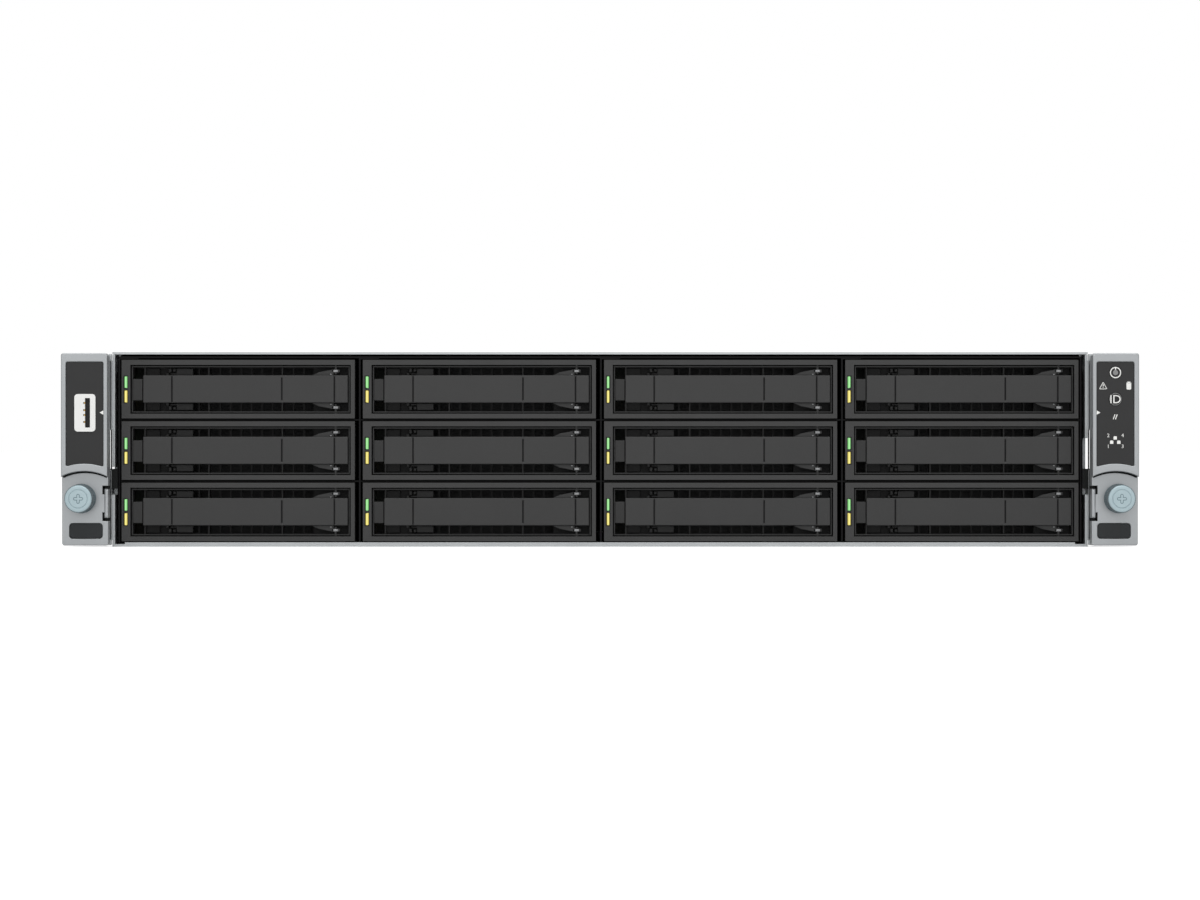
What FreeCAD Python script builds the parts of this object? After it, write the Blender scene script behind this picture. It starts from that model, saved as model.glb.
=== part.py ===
import FreeCAD, Part
import os
import re

import Sketcher

# A 2U rack server with twelve 3.5-inch hot-swap drive carriers in four columns
# and three rows.  +Z is up, +Y runs from the front to the rear and +X is to the
# right seen from the front.  The origin is the centre of the footprint, on the
# underside.  Fixed pieces are drawn with y = 0 on the plane where the two ears
# meet the rack's rails, and the sheet's rack_plane puts that plane in place.

DIMENSIONS = {
    "drawing": {
        "cut_margin": 1,
    },
    "rack and ears": {
        "rack_plane": -353.5,
        "ear_outer": 241.3,
        "ear_inner": 220.5,
        "ear_bottom": 0.8,
        "ear_top": 87,
        "ear_front": -12,
        "ear_step": -8.5,
        "bracket_sheet": 2,
        "arch_middle": 230.9,
        "arch_centre": 10.7,
        "arch_radius": 23.4,
        "side_plate_rear": 62,
        "side_plate_low": 3,
        "side_plate_high": 84,
        "sight_slot_low": 34.7,
        "sight_slot_high": 52.7,
        "sight_slot_rear": 22,
        "hook_low": 11.8,
        "hook_high": 27.6,
        "hook_slot": 1.4,
        "hook_width": 2.6,
        "hook_depth": 4,
        "hook_tab_width": 2.2,
        "hook_tab_lift": 0.5,
        "raised_low": 20.8,
        "edge_round": 0.8,
        "corner_round": 1.1,
        "side_sheet": 1.5,
    },
    "ear panels, ports and buttons": {
        "panel_outer": 239.1,
        "panel_inner": 222.3,
        "panel_top": 83.2,
        "panel_border": 3.4,
        "panel_sheet": 1.6,
        "panel_sunk": 0.4,
        "insert_outer": 238,
        "insert_inner": 223.1,
        "insert_low": 3.9,
        "insert_high": 10.8,
        "insert_sheet": 0.8,
        "insert_sunk": 0.2,
        "insert_round": 1.3,
        "socket_outer": 235.2,
        "socket_inner": 225.8,
        "socket_low": 51.9,
        "socket_high": 68.7,
        "socket_slot_outer": 230.5,
        "socket_slot_inner": 228.2,
        "socket_slot_low": 53.7,
        "socket_slot_high": 66.9,
        "socket_slot_depth": 8,
        "socket_lift": 0.2,
        "socket_round": 1.5,
        "tongue_sheet": 0.9,
        "tongue_sunk": 0.8,
        "power_height": 78.3,
        "power_radius": 2.6,
        "identify_height": 66.4,
        "identify_radius": 2.8,
        "button_middle": 230.7,
        "button_gap": 0.15,
        "button_lift": 0.3,
        "button_length": 3.5,
        "button_well_gap": 0.4,
        "button_well_depth": 6,
        "button_sides": 24,
    },
    "thumbscrews": {
        "screw_middle": 232.55,
        "screw_height": 21.9,
        "screw_face": -19,
        "screw_knob_radius": 6.3,
        "screw_lift": 0.1,
        "knurl_sides": 32,
        "screw_shank_radius": 3,
        "screw_neck_radius": 2.5,
        "screw_hole_radius": 3.4,
        "screw_collar_radius": 6.6,
        "screw_collar": 1.1,
        "screw_chamfer": 0.4,
        "screw_root": 1,
        "screw_end": 12,
        "cross_length": 5.2,
        "cross_width": 1.1,
        "cross_depth": 1.2,
    },
    "chassis and covers": {
        "chassis_half": 220,
        "chassis_front": 1,
        "chassis_rear": 702,
        "wall_sheet": 1.2,
        "wall_top": 86.6,
        "hem_half": 214.3,
        "hem_height": 2,
        "hem_depth": 6,
        "notch_low": 23.5,
        "left_notch_high": 36,
        "right_notch_high": 49,
        "notch_depth": 8,
        "partition_clear": 3,
        "partition_lead": 10,
        "cover_bottom": 86.8,
        "cover_top": 87.8,
        "cover_split": 236,
        "cover_gap": 0.6,
        "skirt_outer": 218.4,
        "skirt_sheet": 1,
        "skirt_bottom": 79,
        "skirt_rear": 684,
        "skirt_lead": 10,
        "skirt_back": 4,
        "latch_half": 36,
        "latch_front": 262,
        "latch_rear": 312,
        "latch_well": 6,
        "latch_gap": 0.5,
        "latch_sheet": 2.2,
        "latch_pin_radius": 1.2,
        "latch_pin_deep": 4,
        "latch_pin_drop": 2.4,
        "latch_eye_radius": 1.3,
        "latch_eye_sheet": 0.9,
        "latch_grip": 14,
        "stud_radius": 4,
        "stud_length": 3,
        "stud_height": 44,
        "stud_first": 90,
        "stud_pitch": 260,
    },
    "drive bays": {
        "bay_pitch": 108.8,
        "row_pitch": 27.7,
        "row_bottom": 2.5,
        "carrier_front": 0.5,
        "carrier_width": 105.1,
        "carrier_height": 26.4,
        "cage_front": 1.6,
        "cage_rear": 178,
        "cage_sheet": 0.8,
        "cage_half": 217.3,
        "cage_top": 85.9,
        "cage_flange": 9,
        "cage_flange_depth": 12,
        "cage_flange_sheet": 0.5,
        "shelf_sheet": 0.7,
        "shelf_drop": 1,
    },
    "drive carrier": {
        "bezel_depth": 14,
        "well_left": 3.9,
        "well_right": 103.3,
        "well_low": 2.15,
        "well_high": 24.15,
        "well_depth": 9,
        "grille_sheet": 2,
        "back_border": 2.6,
        "lip_gap": 0.4,
        "lip_width": 0.4,
        "lip_front": 5.5,
        "slot_first": 29.6,
        "slot_width": 4.05,
        "slot_pitch": 4.75,
        "slot_count": 12,
        "slot_low": 3.4,
        "slot_high": 22.85,
        "tab_left": 24.1,
        "tab_right": 31.6,
        "tab_depth": 5.5,
        "square_low": 3.05,
        "square_high": 22.9,
        "lamp_left": 1.05,
        "lamp_right": 2.6,
        "green_low": 13.65,
        "green_high": 19.1,
        "yellow_low": 7.1,
        "yellow_high": 12.75,
        "lamp_sunk": 0.4,
        "rail_low": 1,
        "rail_high": 21,
        "drive_front": 22,
        "drive_length": 147,
        "drive_width": 101.6,
        "drive_height": 26.1,
        "rail_end": 173,
    },
    "cam lever and latch": {
        "lever_left": 9.6,
        "lever_right": 102,
        "lever_low": 7.1,
        "lever_high": 19.45,
        "lever_front": 0.3,
        "lever_sheet": 3,
        "lever_bevel": 0.5,
        "seam_left": 22.6,
        "seam_middle": 72.2,
        "seam_right": 95.9,
        "seam_depth": 0.8,
        "seam_width": 0.5,
        "hinge_across": 96.4,
        "hinge_deep": 2.6,
        "hinge_pin_radius": 0.8,
        "hinge_pin_length": 4.4,
        "hinge_bore_radius": 0.98,
        "hinge_sides": 8,
        "eye_left": 94.5,
        "eye_right": 98.3,
        "eye_depth": 2.7,
        "arm_left": 85.8,
        "arm_low": 4,
        "arm_high": 22.6,
        "arm_sheet": 1.5,
        "arm_rise": 2,
        "arm_drop": 1,
        "foot_width": 2,
        "foot_margin": 1,
        "seam_margin": 1,
        "catch_left": 4.9,
        "catch_right": 9.35,
        "catch_low": 8.1,
        "catch_high": 17.8,
        "catch_front": 0.9,
        "catch_back": 6.2,
        "stem_half": 1.2,
        "stem_low": 10,
        "stem_high": 16,
        "stem_end": 13.4,
        "stem_gap": 0.2,
    },
    "inside the chassis": {
        "board_front": 178.2,
        "board_rear": 180.6,
        "board_half": 214,
        "board_low": 3,
        "board_high": 84,
        "connector_left": 8,
        "connector_width": 33,
        "connector_low": 4,
        "connector_height": 7,
        "connector_front": 169.8,
        "vent_left": 48,
        "vent_width": 52,
        "vent_low": 7,
        "vent_height": 12,
        "fan_front": 205,
        "fan_depth": 38,
        "fan_size": 80,
        "fan_low": 3,
        "fan_pitch": 104,
        "hub_front": 3,
        "hub_gap": 1,
        "duct_radius": 38.6,
        "hub_radius": 17,
        "hub_depth": 24,
        "strut_half": 1.6,
        "strut_sheet": 2.5,
        "blade_tip": 36,
        "blade_chord": 18,
        "blade_sheet": 1.4,
        "blade_count": 6,
        "blade_root": 2,
        "blade_margin": 2,
        "hub_sides": 12,
        "duct_sides": 24,
        "main_left": -136,
        "main_right": 214,
        "main_front": 268,
        "main_rear": 698,
        "main_low": 8,
        "main_sheet": 1.8,
        "sink_width": 92,
        "sink_length": 108,
        "sink_height": 62,
        "sink_front": 380,
        "sink_first": -96,
        "sink_pitch": 172,
        "sink_base": 8,
        "fin_sheet": 1.6,
        "fin_pitch": 9.04,
        "fin_count": 11,
        "module_sheet": 1.4,
        "module_length": 133.4,
        "module_height": 31,
        "module_pitch": 9,
        "module_front": 366,
        "module_bank": 4,
        "module_clear": 4,
    },
    "rear": {
        "supply_left": -217,
        "supply_width": 73.5,
        "supply_height": 40,
        "supply_front": 517,
        "supply_low": 3,
        "supply_pitch": 41.3,
        "supply_face": 703.5,
        "handle_end": 726,
        "handle_wire": 4,
        "handle_inset": 3,
        "handle_low": 5,
        "handle_high": 35,
        "inlet_left": 8,
        "inlet_width": 27,
        "inlet_low": 10.5,
        "inlet_height": 19,
        "inlet_depth": 15,
        "supply_fan_across": 54,
        "supply_fan_radius": 15.5,
        "supply_fan_depth": 2.5,
        "partition_across": -141.6,
        "vent_first": 8,
        "vent_slot": 6,
        "vent_count": 9,
        "vent_pitch": 11,
        "vent_above": 4,
        "vent_below": 6,
        "opening_gap": 0.3,
        "riser_first": -30,
        "riser_pitch": 124,
        "riser_width": 120,
        "riser_low": 24,
        "riser_high": 84.5,
        "riser_front": 520,
        "riser_sheet": 1,
        "riser_lip": 2,
        "riser_card": 1.6,
        "card_clear": 1,
        "slot_cover_pitch": 20,
        "slot_cover_height": 18,
        "ports_low": 10,
        "port_depth": 16,
        "port_lift": 0.4,
        "network_width": 16,
        "network_height": 13.5,
        "network_first": 60,
        "network_pitch": 17,
        "network_wall": 2.1,
        "network_floor": 2,
        "display_first": 2,
        "display_width": 31,
        "display_height": 12.5,
        "usb_first": -26,
        "usb_width": 15,
        "usb_height": 14.5,
    },
}

doc = FreeCAD.newDocument("rack_server")
sheet = doc.addObject("Spreadsheet::Sheet", "dims")
row = 1
for heading, cells_of_group in DIMENSIONS.items():
    sheet.set(f"A{row}", heading)
    row += 1
    for alias, value in cells_of_group.items():
        sheet.set(f"A{row}", alias)
        sheet.set(f"B{row}", str(value))
        sheet.setAlias(f"B{row}", alias)
        row += 1
doc.recompute()


def cells(text):
    """Point every sheet name in an expression at the sheet."""
    return re.sub(r"\b([a-z]+(?:_[a-z]+)+)\b", r"dims.\1", text)


def bind(item, **expressions):
    """Bind properties of an object, Placement_x to Placement_z among them."""
    for name, expression in expressions.items():
        path = name.replace("Placement_", "Placement.Base.")
        item.setExpression(path, cells(expression))
    return item


# ---------------------------------------------------------------- primitives

def box(name, x, y, z):
    """A block between two limits on each axis."""
    block = doc.addObject("Part::Box", name)
    return bind(
        block,
        Length=f"({x[1]}) - ({x[0]})",
        Width=f"({y[1]}) - ({y[0]})",
        Height=f"({z[1]}) - ({z[0]})",
        Placement_x=x[0],
        Placement_y=y[0],
        Placement_z=z[0],
    )


ALONG = {
    "x": FreeCAD.Rotation(FreeCAD.Vector(0, 1, 0), 90),
    "y": FreeCAD.Rotation(FreeCAD.Vector(1, 0, 0), -90),
    "z": FreeCAD.Rotation(),
}


def rod(name, axis, start, radius, length):
    """A cylinder from a start point along +X, +Y or +Z."""
    cylinder = doc.addObject("Part::Cylinder", name)
    cylinder.Placement = FreeCAD.Placement(FreeCAD.Vector(), ALONG[axis])
    return bind(
        cylinder,
        Radius=radius,
        Height=length,
        Placement_x=start[0],
        Placement_y=start[1],
        Placement_z=start[2],
    )


def prism(name, axis, start, radius, length, sides):
    """A regular prism from a start point along +X, +Y or +Z."""
    solid = doc.addObject("Part::Prism", name)
    solid.Placement = FreeCAD.Placement(FreeCAD.Vector(), ALONG[axis])
    return bind(
        solid,
        Polygon=sides,
        Circumradius=radius,
        Height=length,
        Placement_x=start[0],
        Placement_y=start[1],
        Placement_z=start[2],
    )


def group(name, parts):
    """Several solids kept apart in one object."""
    compound = doc.addObject("Part::Compound", name)
    compound.Links = parts
    return compound


def fuse(name, parts):
    union = doc.addObject("Part::MultiFuse", name)
    union.Shapes = parts
    union.Refine = True
    return union


def cut(name, base, tools):
    """A base less one tool, or less a group of tools that don't touch."""
    difference = doc.addObject("Part::Cut", name)
    difference.Base = base
    difference.Tool = tools[0] if len(tools) == 1 else group(name + "_tools", tools)
    difference.Refine = True
    return difference


def mirrored(name, source):
    """The same piece on the other side of the middle plane."""
    mirror = doc.addObject("Part::Mirroring", name)
    mirror.Source = source
    mirror.Normal = FreeCAD.Vector(1, 0, 0)
    return mirror


# ------------------------------------------------- sketched bodies and features

# Each drawing plane: the role of the origin plane, and whether its own normal
# points along the positive axis.
PLANES = {
    "front": ("XZ_Plane", False),
    "top": ("XY_Plane", True),
    "side": ("YZ_Plane", True),
}


def new_body(name):
    return doc.addObject("PartDesign::Body", name)


def sketch(body, name, plane="front", at="0"):
    """A sketch parallel to an origin plane, at a distance along the positive axis."""
    role, positive = PLANES[plane]
    item = body.newObject("Sketcher::SketchObject", name)
    support = next(f for f in body.Origin.OriginFeatures if f.Role == role)
    item.AttachmentSupport = [(support, "")]
    item.MapMode = "FlatFace"
    offset = at if positive else f"-({at})"
    item.setExpression("AttachmentOffset.Base.z", cells(offset))
    return item


def place(item, kind, line, end, value):
    """Fix one end of a line at a distance from the sketch's origin."""
    index = item.addConstraint(Sketcher.Constraint(kind, -1, 1, line, end, 1.0))
    item.setExpression(f"Constraints[{index}]", cells(value))


def polygon(item, points):
    """A closed outline of straight lines through points given as expressions."""
    first = item.GeometryCount
    count = len(points)
    for k in range(count):
        start = FreeCAD.Vector(k, k * k, 0)
        item.addGeometry(Part.LineSegment(start, FreeCAD.Vector(k + 1, (k + 1) ** 2, 0)))
    for k in range(count):
        following = first + (k + 1) % count
        item.addConstraint(Sketcher.Constraint("Coincident", first + k, 2, following, 1))
    for k, (across, up) in enumerate(points):
        place(item, "DistanceX", first + k, 1, across)
        place(item, "DistanceY", first + k, 1, up)


def rectangle(item, across, up):
    """A rectangle between two limits each way."""
    corners = [(across[0], up[0]), (across[1], up[0]), (across[1], up[1]), (across[0], up[1])]
    polygon(item, corners)


def circle(item, across, up, radius):
    index = item.addGeometry(Part.Circle(FreeCAD.Vector(1, 1, 0), FreeCAD.Vector(0, 0, 1), 1))
    place(item, "DistanceX", index, 3, across)
    place(item, "DistanceY", index, 3, up)
    size = item.addConstraint(Sketcher.Constraint("Radius", index, 1.0))
    item.setExpression(f"Constraints[{size}]", cells(radius))


def regular(item, across, up, radius, sides):
    """A regular polygon, its number of sides taken from the sheet."""
    count = int(sheet.get(sides))
    turns = [f"360 * {k} / {count}" for k in range(count)]
    points = [(f"{across} + {radius} * cos({v})", f"{up} + {radius} * sin({v})") for v in turns]
    polygon(item, points)


def feature(body, kind, profile, length):
    """A Pad or Pocket that runs from its sketch along the positive axis."""
    item = body.newObject("PartDesign::" + kind, profile.Name + "_" + kind.lower())
    item.Profile = profile
    item.setExpression("Length", cells(length))
    role = profile.AttachmentSupport[0][0].Role
    positive = dict(PLANES.values())[role]
    item.Reversed = not positive if kind == "Pad" else positive
    return item


def pad(body, profile, length):
    return feature(body, "Pad", profile, length)


def pocket(body, profile, length):
    return feature(body, "Pocket", profile, length)


def in_a_row(body, original, profile, count, pitch):
    """Repeat a feature along its sketch's horizontal axis."""
    pattern = body.newObject("PartDesign::LinearPattern", original.Name + "_row")
    pattern.Originals = [original]
    pattern.Direction = (profile, ["H_Axis"])
    pattern.Mode = "Spacing"
    pattern.setExpression("Occurrences", cells(count))
    pattern.setExpression("Offset", cells(pitch))
    body.Tip = pattern
    return pattern


def rounded(body, base, radius, chosen):
    """Round the edges of a feature whose bounding boxes pass a test."""
    doc.recompute()
    edges = [f"Edge{k}" for k, edge in enumerate(base.Shape.Edges, 1) if chosen(edge.BoundBox)]
    fillet = body.newObject("PartDesign::Fillet", base.Name + "_rounded")
    fillet.Base = (base, edges)
    fillet.setExpression("Radius", cells(radius))
    return fillet


def runs_back(bounds):
    """Whether an edge with these bounds runs straight from front to rear."""
    return bounds.XLength < TOLERANCE and bounds.ZLength < TOLERANCE


TOLERANCE = 0.001


def rounded_block(name, x, y, z, radius):
    """A block whose four edges from front to rear are rounded."""
    body = new_body(name)
    outline = sketch(body, name + "_outline", at=y[0])
    rectangle(outline, x, z)
    rounded(body, pad(body, outline, f"({y[1]}) - ({y[0]})"), radius, runs_back)
    return body


# ------------------------------------------------------------------ sub-parts

nodes = []


def node(label, parts, x="0", y="rack_plane", z="0"):
    """A finished sub-part: its solids, its file name and its place."""
    compound = doc.addObject("Part::Compound", label)
    compound.Label = label
    compound.Links = parts
    bind(compound, Placement_x=x, Placement_y=y, Placement_z=z)
    nodes.append(compound)


# ------------------------------------------------------ drive carrier, drawn once

RAIL = "(carrier_width - drive_width) / 2"
HINGE = ("hinge_across", "hinge_deep")


def carrier_tray():
    """Moulded tray: a deep bezel with a well and a vent grille, and two rails."""
    tray = new_body("carrier_tray")
    bezel = sketch(tray, "bezel")
    rectangle(bezel, ("0", "carrier_width"), ("0", "carrier_height"))
    pad(tray, bezel, "bezel_depth")

    well = sketch(tray, "well")
    rectangle(well, ("well_left", "well_right"), ("well_low", "well_high"))
    pocket(tray, well, "well_depth")

    behind = sketch(tray, "behind_grille", at="well_depth + grille_sheet")
    rectangle(
        behind,
        ("back_border", "carrier_width - back_border"),
        ("back_border", "carrier_height - back_border"),
    )
    pocket(tray, behind, "bezel_depth")

    slot = sketch(tray, "grille_slot")
    rectangle(slot, ("slot_first", "slot_first + slot_width"), ("slot_low", "slot_high"))
    first_slot = pocket(tray, slot, "bezel_depth")
    in_a_row(tray, first_slot, slot, "slot_count", "slot_pitch")

    catch_middle = "(catch_left + catch_right) / 2"
    stem = (f"{catch_middle} - stem_half - stem_gap", f"{catch_middle} + stem_half + stem_gap")
    windows = sketch(tray, "catch_windows")
    rectangle(windows, ("catch_left", "catch_right"), ("square_low", "catch_low - stem_gap"))
    rectangle(windows, stem, ("stem_low - stem_gap", "stem_high + stem_gap"))
    rectangle(windows, ("catch_left", "catch_right"), ("catch_high + stem_gap", "square_high"))
    pocket(tray, windows, "bezel_depth")

    lamps = sketch(tray, "lamp_slots")
    rectangle(lamps, ("lamp_left", "lamp_right"), ("green_low", "green_high"))
    rectangle(lamps, ("lamp_left", "lamp_right"), ("yellow_low", "yellow_high"))
    pocket(tray, lamps, "bezel_depth")

    # A thin lip stands in the well, a groove away from its walls.
    lip = sketch(tray, "well_lip", at="lip_front")
    for inset in ("lip_gap", "(lip_gap + lip_width)"):
        across = (f"well_left + {inset}", f"well_right - {inset}")
        rectangle(lip, across, (f"well_low + {inset}", f"well_high - {inset}"))
    pad(tray, lip, "well_depth - lip_front")

    # A flat tab and the two tall ribs stand forward of the grille's other ribs.
    forward = sketch(tray, "tab_and_tall_ribs", at="tab_depth")
    rectangle(forward, ("tab_left", "tab_right"), ("well_low", "well_high"))
    for slots_before in ("2", "9"):
        edge = f"slot_first + {slots_before} * slot_pitch"
        rectangle(forward, (f"{edge} - slot_pitch + slot_width", edge), ("well_low", "well_high"))
    pad(tray, forward, "well_depth + grille_sheet - tab_depth")

    rails = sketch(tray, "rails", at="bezel_depth")
    rectangle(rails, ("0", RAIL), ("rail_low", "rail_high"))
    rectangle(rails, (f"carrier_width - {RAIL}", "carrier_width"), ("rail_low", "rail_high"))
    pad(tray, rails, "rail_end - bezel_depth")
    return tray


def carrier_fittings():
    """What the tray carries: the drive, two light pipes and two hinge pins."""
    side = RAIL
    under = "(carrier_height - drive_height) / 2"
    drive = box(
        "drive",
        (side, f"{side} + drive_width"),
        ("drive_front", "drive_front + drive_length"),
        (under, f"{under} + drive_height"),
    )
    lamp = ("lamp_left", "lamp_right")
    depth = ("lamp_sunk", "bezel_depth")
    green = box("green_light_pipe", lamp, depth, ("green_low", "green_high"))
    yellow = box("yellow_light_pipe", lamp, depth, ("yellow_low", "yellow_high"))
    pins = [
        prism(name, "z", (*HINGE, low), "hinge_pin_radius", "hinge_pin_length", "hinge_sides")
        for name, low in (
            ("lower_hinge_pin", "well_low"),
            ("upper_hinge_pin", "well_high - hinge_pin_length"),
        )
    ]
    return [drive, green, yellow] + pins


def cam_lever():
    """Flat lever with two arms whose eyes turn on the hinge pins, and a cam foot."""
    lever = new_body("cam_lever")
    plate = sketch(lever, "lever_plate", at="lever_front")
    rectangle(plate, ("lever_left", "lever_right"), ("lever_low", "lever_high"))
    slab = pad(lever, plate, "lever_sheet")
    doc.recompute()
    front_edges = [
        f"Edge{number}"
        for number, edge in enumerate(slab.Shape.Edges, 1)
        if edge.BoundBox.YMax < sheet.lever_front + sheet.lever_bevel
    ]
    bevel = lever.newObject("PartDesign::Chamfer", "lever_bevel")
    bevel.Base = (slab, front_edges)
    bevel.setExpression("Size", cells("lever_bevel"))

    seams = sketch(lever, "seams")
    for middle, sign in (("seam_left", "-"), ("seam_middle", "+"), ("seam_right", "-")):
        across = (f"{middle} - seam_width / 2", f"{middle} + seam_width / 2")
        margin = f"{sign}seam_margin"
        rectangle(seams, across, (f"lever_low + ({margin})", f"lever_high - ({margin})"))
    pocket(lever, seams, "lever_front + seam_depth")

    arms = sketch(lever, "arms", at="lever_front + lever_sheet - arm_sheet")
    for root, tip, sign in (("lever_high", "arm_high", "-"), ("lever_low", "arm_low", "+")):
        polygon(
            arms,
            [
                ("arm_left", root),
                ("arm_left + arm_rise", f"{tip} {sign} arm_drop"),
                ("eye_left - arm_drop", tip),
                ("eye_left", tip),
                ("eye_left", f"{tip} {sign} arm_sheet"),
                ("eye_left - arm_rise", root),
            ],
        )
    pad(lever, arms, "arm_sheet")

    eyes = sketch(lever, "eyes", at="lever_front + lever_sheet - arm_sheet")
    for root, tip, sign in (("lever_high", "arm_high", "-"), ("lever_low", "arm_low", "+")):
        rectangle(eyes, ("eye_left", "eye_right"), (f"{tip} {sign} arm_sheet", tip))
    pad(lever, eyes, "eye_depth")

    foot = sketch(lever, "cam_foot", at="lever_front + lever_sheet")
    rectangle(
        foot,
        ("lever_right - foot_width", "lever_right"),
        ("lever_low + foot_margin", "lever_high - foot_margin"),
    )
    pad(lever, foot, "arm_sheet")

    for name, low in (("lower_bore", "arm_low - cut_margin"), ("upper_bore", "lever_high")):
        bore = sketch(lever, name, "top", at=low)
        regular(bore, *HINGE, "hinge_bore_radius", "hinge_sides")
        pocket(lever, bore, "lever_low - arm_low + cut_margin")
    return lever


def release_catch():
    """Sprung push-button beside the lever's free end, with a guide stem."""
    catch = new_body("release_catch")
    head = sketch(catch, "catch_head", at="catch_front")
    rectangle(head, ("catch_left", "catch_right"), ("catch_low", "catch_high"))
    pad(catch, head, "catch_back - catch_front")
    middle = "(catch_left + catch_right) / 2"
    stem = sketch(catch, "catch_stem", at="catch_back")
    rectangle(stem, (f"{middle} - stem_half", f"{middle} + stem_half"), ("stem_low", "stem_high"))
    pad(catch, stem, "stem_end - catch_back")
    return catch


COLUMNS = 4
ROWS = 3


def bay_left(column):
    return f"({column} - 1.5) * bay_pitch - carrier_width / 2"


def bay_bottom(row_from_top):
    return f"row_bottom + {ROWS - 1 - row_from_top} * row_pitch"


def drive_bays():
    """Twelve carriers, levers and catches, numbered along the rows from the top left."""
    tray_and_drive = [carrier_tray()] + carrier_fittings()
    lever = cam_lever()
    catch = release_catch()
    for row_from_top in range(ROWS):
        for column in range(COLUMNS):
            number = row_from_top * COLUMNS + column + 1
            at = {
                "x": bay_left(column),
                "y": "rack_plane + carrier_front",
                "z": bay_bottom(row_from_top),
            }
            node(f"drive_carrier_{number:02d}", tray_and_drive, **at)
            node(f"carrier_lever_{number:02d}", [lever], **at)
            node(f"carrier_latch_{number:02d}", [catch], **at)


# ------------------------------------------------------- cage, backplane and fans

def drive_cage():
    """Folded cage: a top, two sides, three dividers with flanges, two shelves."""
    depth = ("cage_front", "cage_rear")
    under_top = "cage_top - cage_sheet"
    sheets = [box("cage_top_sheet", ("-cage_half", "cage_half"), depth, (under_top, "cage_top"))]
    uprights = [("left", "-cage_half"), ("right", "cage_half - cage_sheet")]
    gap = "bay_pitch - carrier_width"
    for column in range(COLUMNS - 1):
        edge = f"{bay_left(column)} + carrier_width + ({gap}) / 2"
        uprights.append((f"divider_{column + 1}", edge))
    for name, edge in uprights:
        across = (edge, f"{edge} + cage_sheet")
        sheets.append(box(f"cage_{name}", across, depth, ("hem_height", under_top)))
        if name != "right":
            flange = (edge, f"{edge} + cage_flange")
            height = (f"{under_top} - cage_flange_sheet", under_top)
            reach = ("cage_front", "cage_front + cage_flange_depth")
            sheets.append(box(f"flange_{name}", flange, reach, height))
    for shelf in range(1, ROWS):
        low = f"row_bottom + {shelf} * row_pitch - (row_pitch - carrier_height + shelf_sheet) / 2"
        across = ("-cage_half", "cage_half")
        back = ("cage_front + shelf_drop", "cage_rear")
        sheets.append(box(f"shelf_{shelf}", across, back, (low, f"{low} + shelf_sheet")))
    node("drive_cage", [fuse("cage_sheets", sheets)])


def drive_backplane():
    """Upright board with one socket and one air window for each bay."""
    board = box(
        "backplane_board",
        ("-board_half", "board_half"),
        ("board_front", "board_rear"),
        ("board_low", "board_high"),
    )
    windows = []
    sockets = []
    for row_from_top in range(ROWS):
        for column in range(COLUMNS):
            left = bay_left(column)
            low = bay_bottom(row_from_top)
            place_name = f"{row_from_top + 1}_{column + 1}"
            windows.append(
                box(
                    f"window_{place_name}",
                    (f"{left} + vent_left", f"{left} + vent_left + vent_width"),
                    ("board_front - cut_margin", "board_rear + cut_margin"),
                    (f"{low} + vent_low", f"{low} + vent_low + vent_height"),
                )
            )
            sockets.append(
                box(
                    f"socket_{place_name}",
                    (f"{left} + connector_left", f"{left} + connector_left + connector_width"),
                    ("connector_front", "board_front"),
                    (f"{low} + connector_low", f"{low} + connector_low + connector_height"),
                )
            )
    node("drive_backplane", [cut("backplane", board, windows)] + sockets)


def fan_across(number):
    return f"({number} - 1.5) * fan_pitch"


FAN_HEIGHT = "fan_low + fan_size / 2"


def fan_frames():
    """Four square frames with round ducts, and a motor mount on four struts."""
    depth = ("fan_front", "fan_front + fan_depth")
    rear = "fan_front + fan_depth"
    frames = []
    for number in range(4):
        middle = fan_across(number)
        block = box(
            f"fan_block_{number + 1}",
            (f"{middle} - fan_size / 2", f"{middle} + fan_size / 2"),
            depth,
            ("fan_low", "fan_low + fan_size"),
        )
        start = (middle, "fan_front - cut_margin", FAN_HEIGHT)
        length = "fan_depth + 2 * cut_margin"
        duct = prism(f"fan_duct_{number + 1}", "y", start, "duct_radius", length, "duct_sides")
        ring = cut(f"fan_frame_{number + 1}", block, [duct])
        mount_front = "fan_front + hub_front + hub_depth + hub_gap"
        mount = prism(
            f"fan_mount_{number + 1}",
            "y",
            (middle, mount_front, FAN_HEIGHT),
            "hub_radius",
            f"({rear}) - ({mount_front})",
            "hub_sides",
        )
        reach = "duct_radius + cut_margin"
        struts = [
            box(
                f"fan_strut_across_{number + 1}",
                (f"{middle} - ({reach})", f"{middle} + {reach}"),
                (f"{rear} - strut_sheet", rear),
                (f"{FAN_HEIGHT} - strut_half", f"{FAN_HEIGHT} + strut_half"),
            ),
            box(
                f"fan_strut_up_{number + 1}",
                (f"{middle} - strut_half", f"{middle} + strut_half"),
                (f"{rear} - strut_sheet", rear),
                (f"{FAN_HEIGHT} - ({reach})", f"{FAN_HEIGHT} + {reach}"),
            ),
        ]
        frames.append(fuse(f"fan_housing_{number + 1}", [ring, mount] + struts))
    node("fan_frames", frames)


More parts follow.
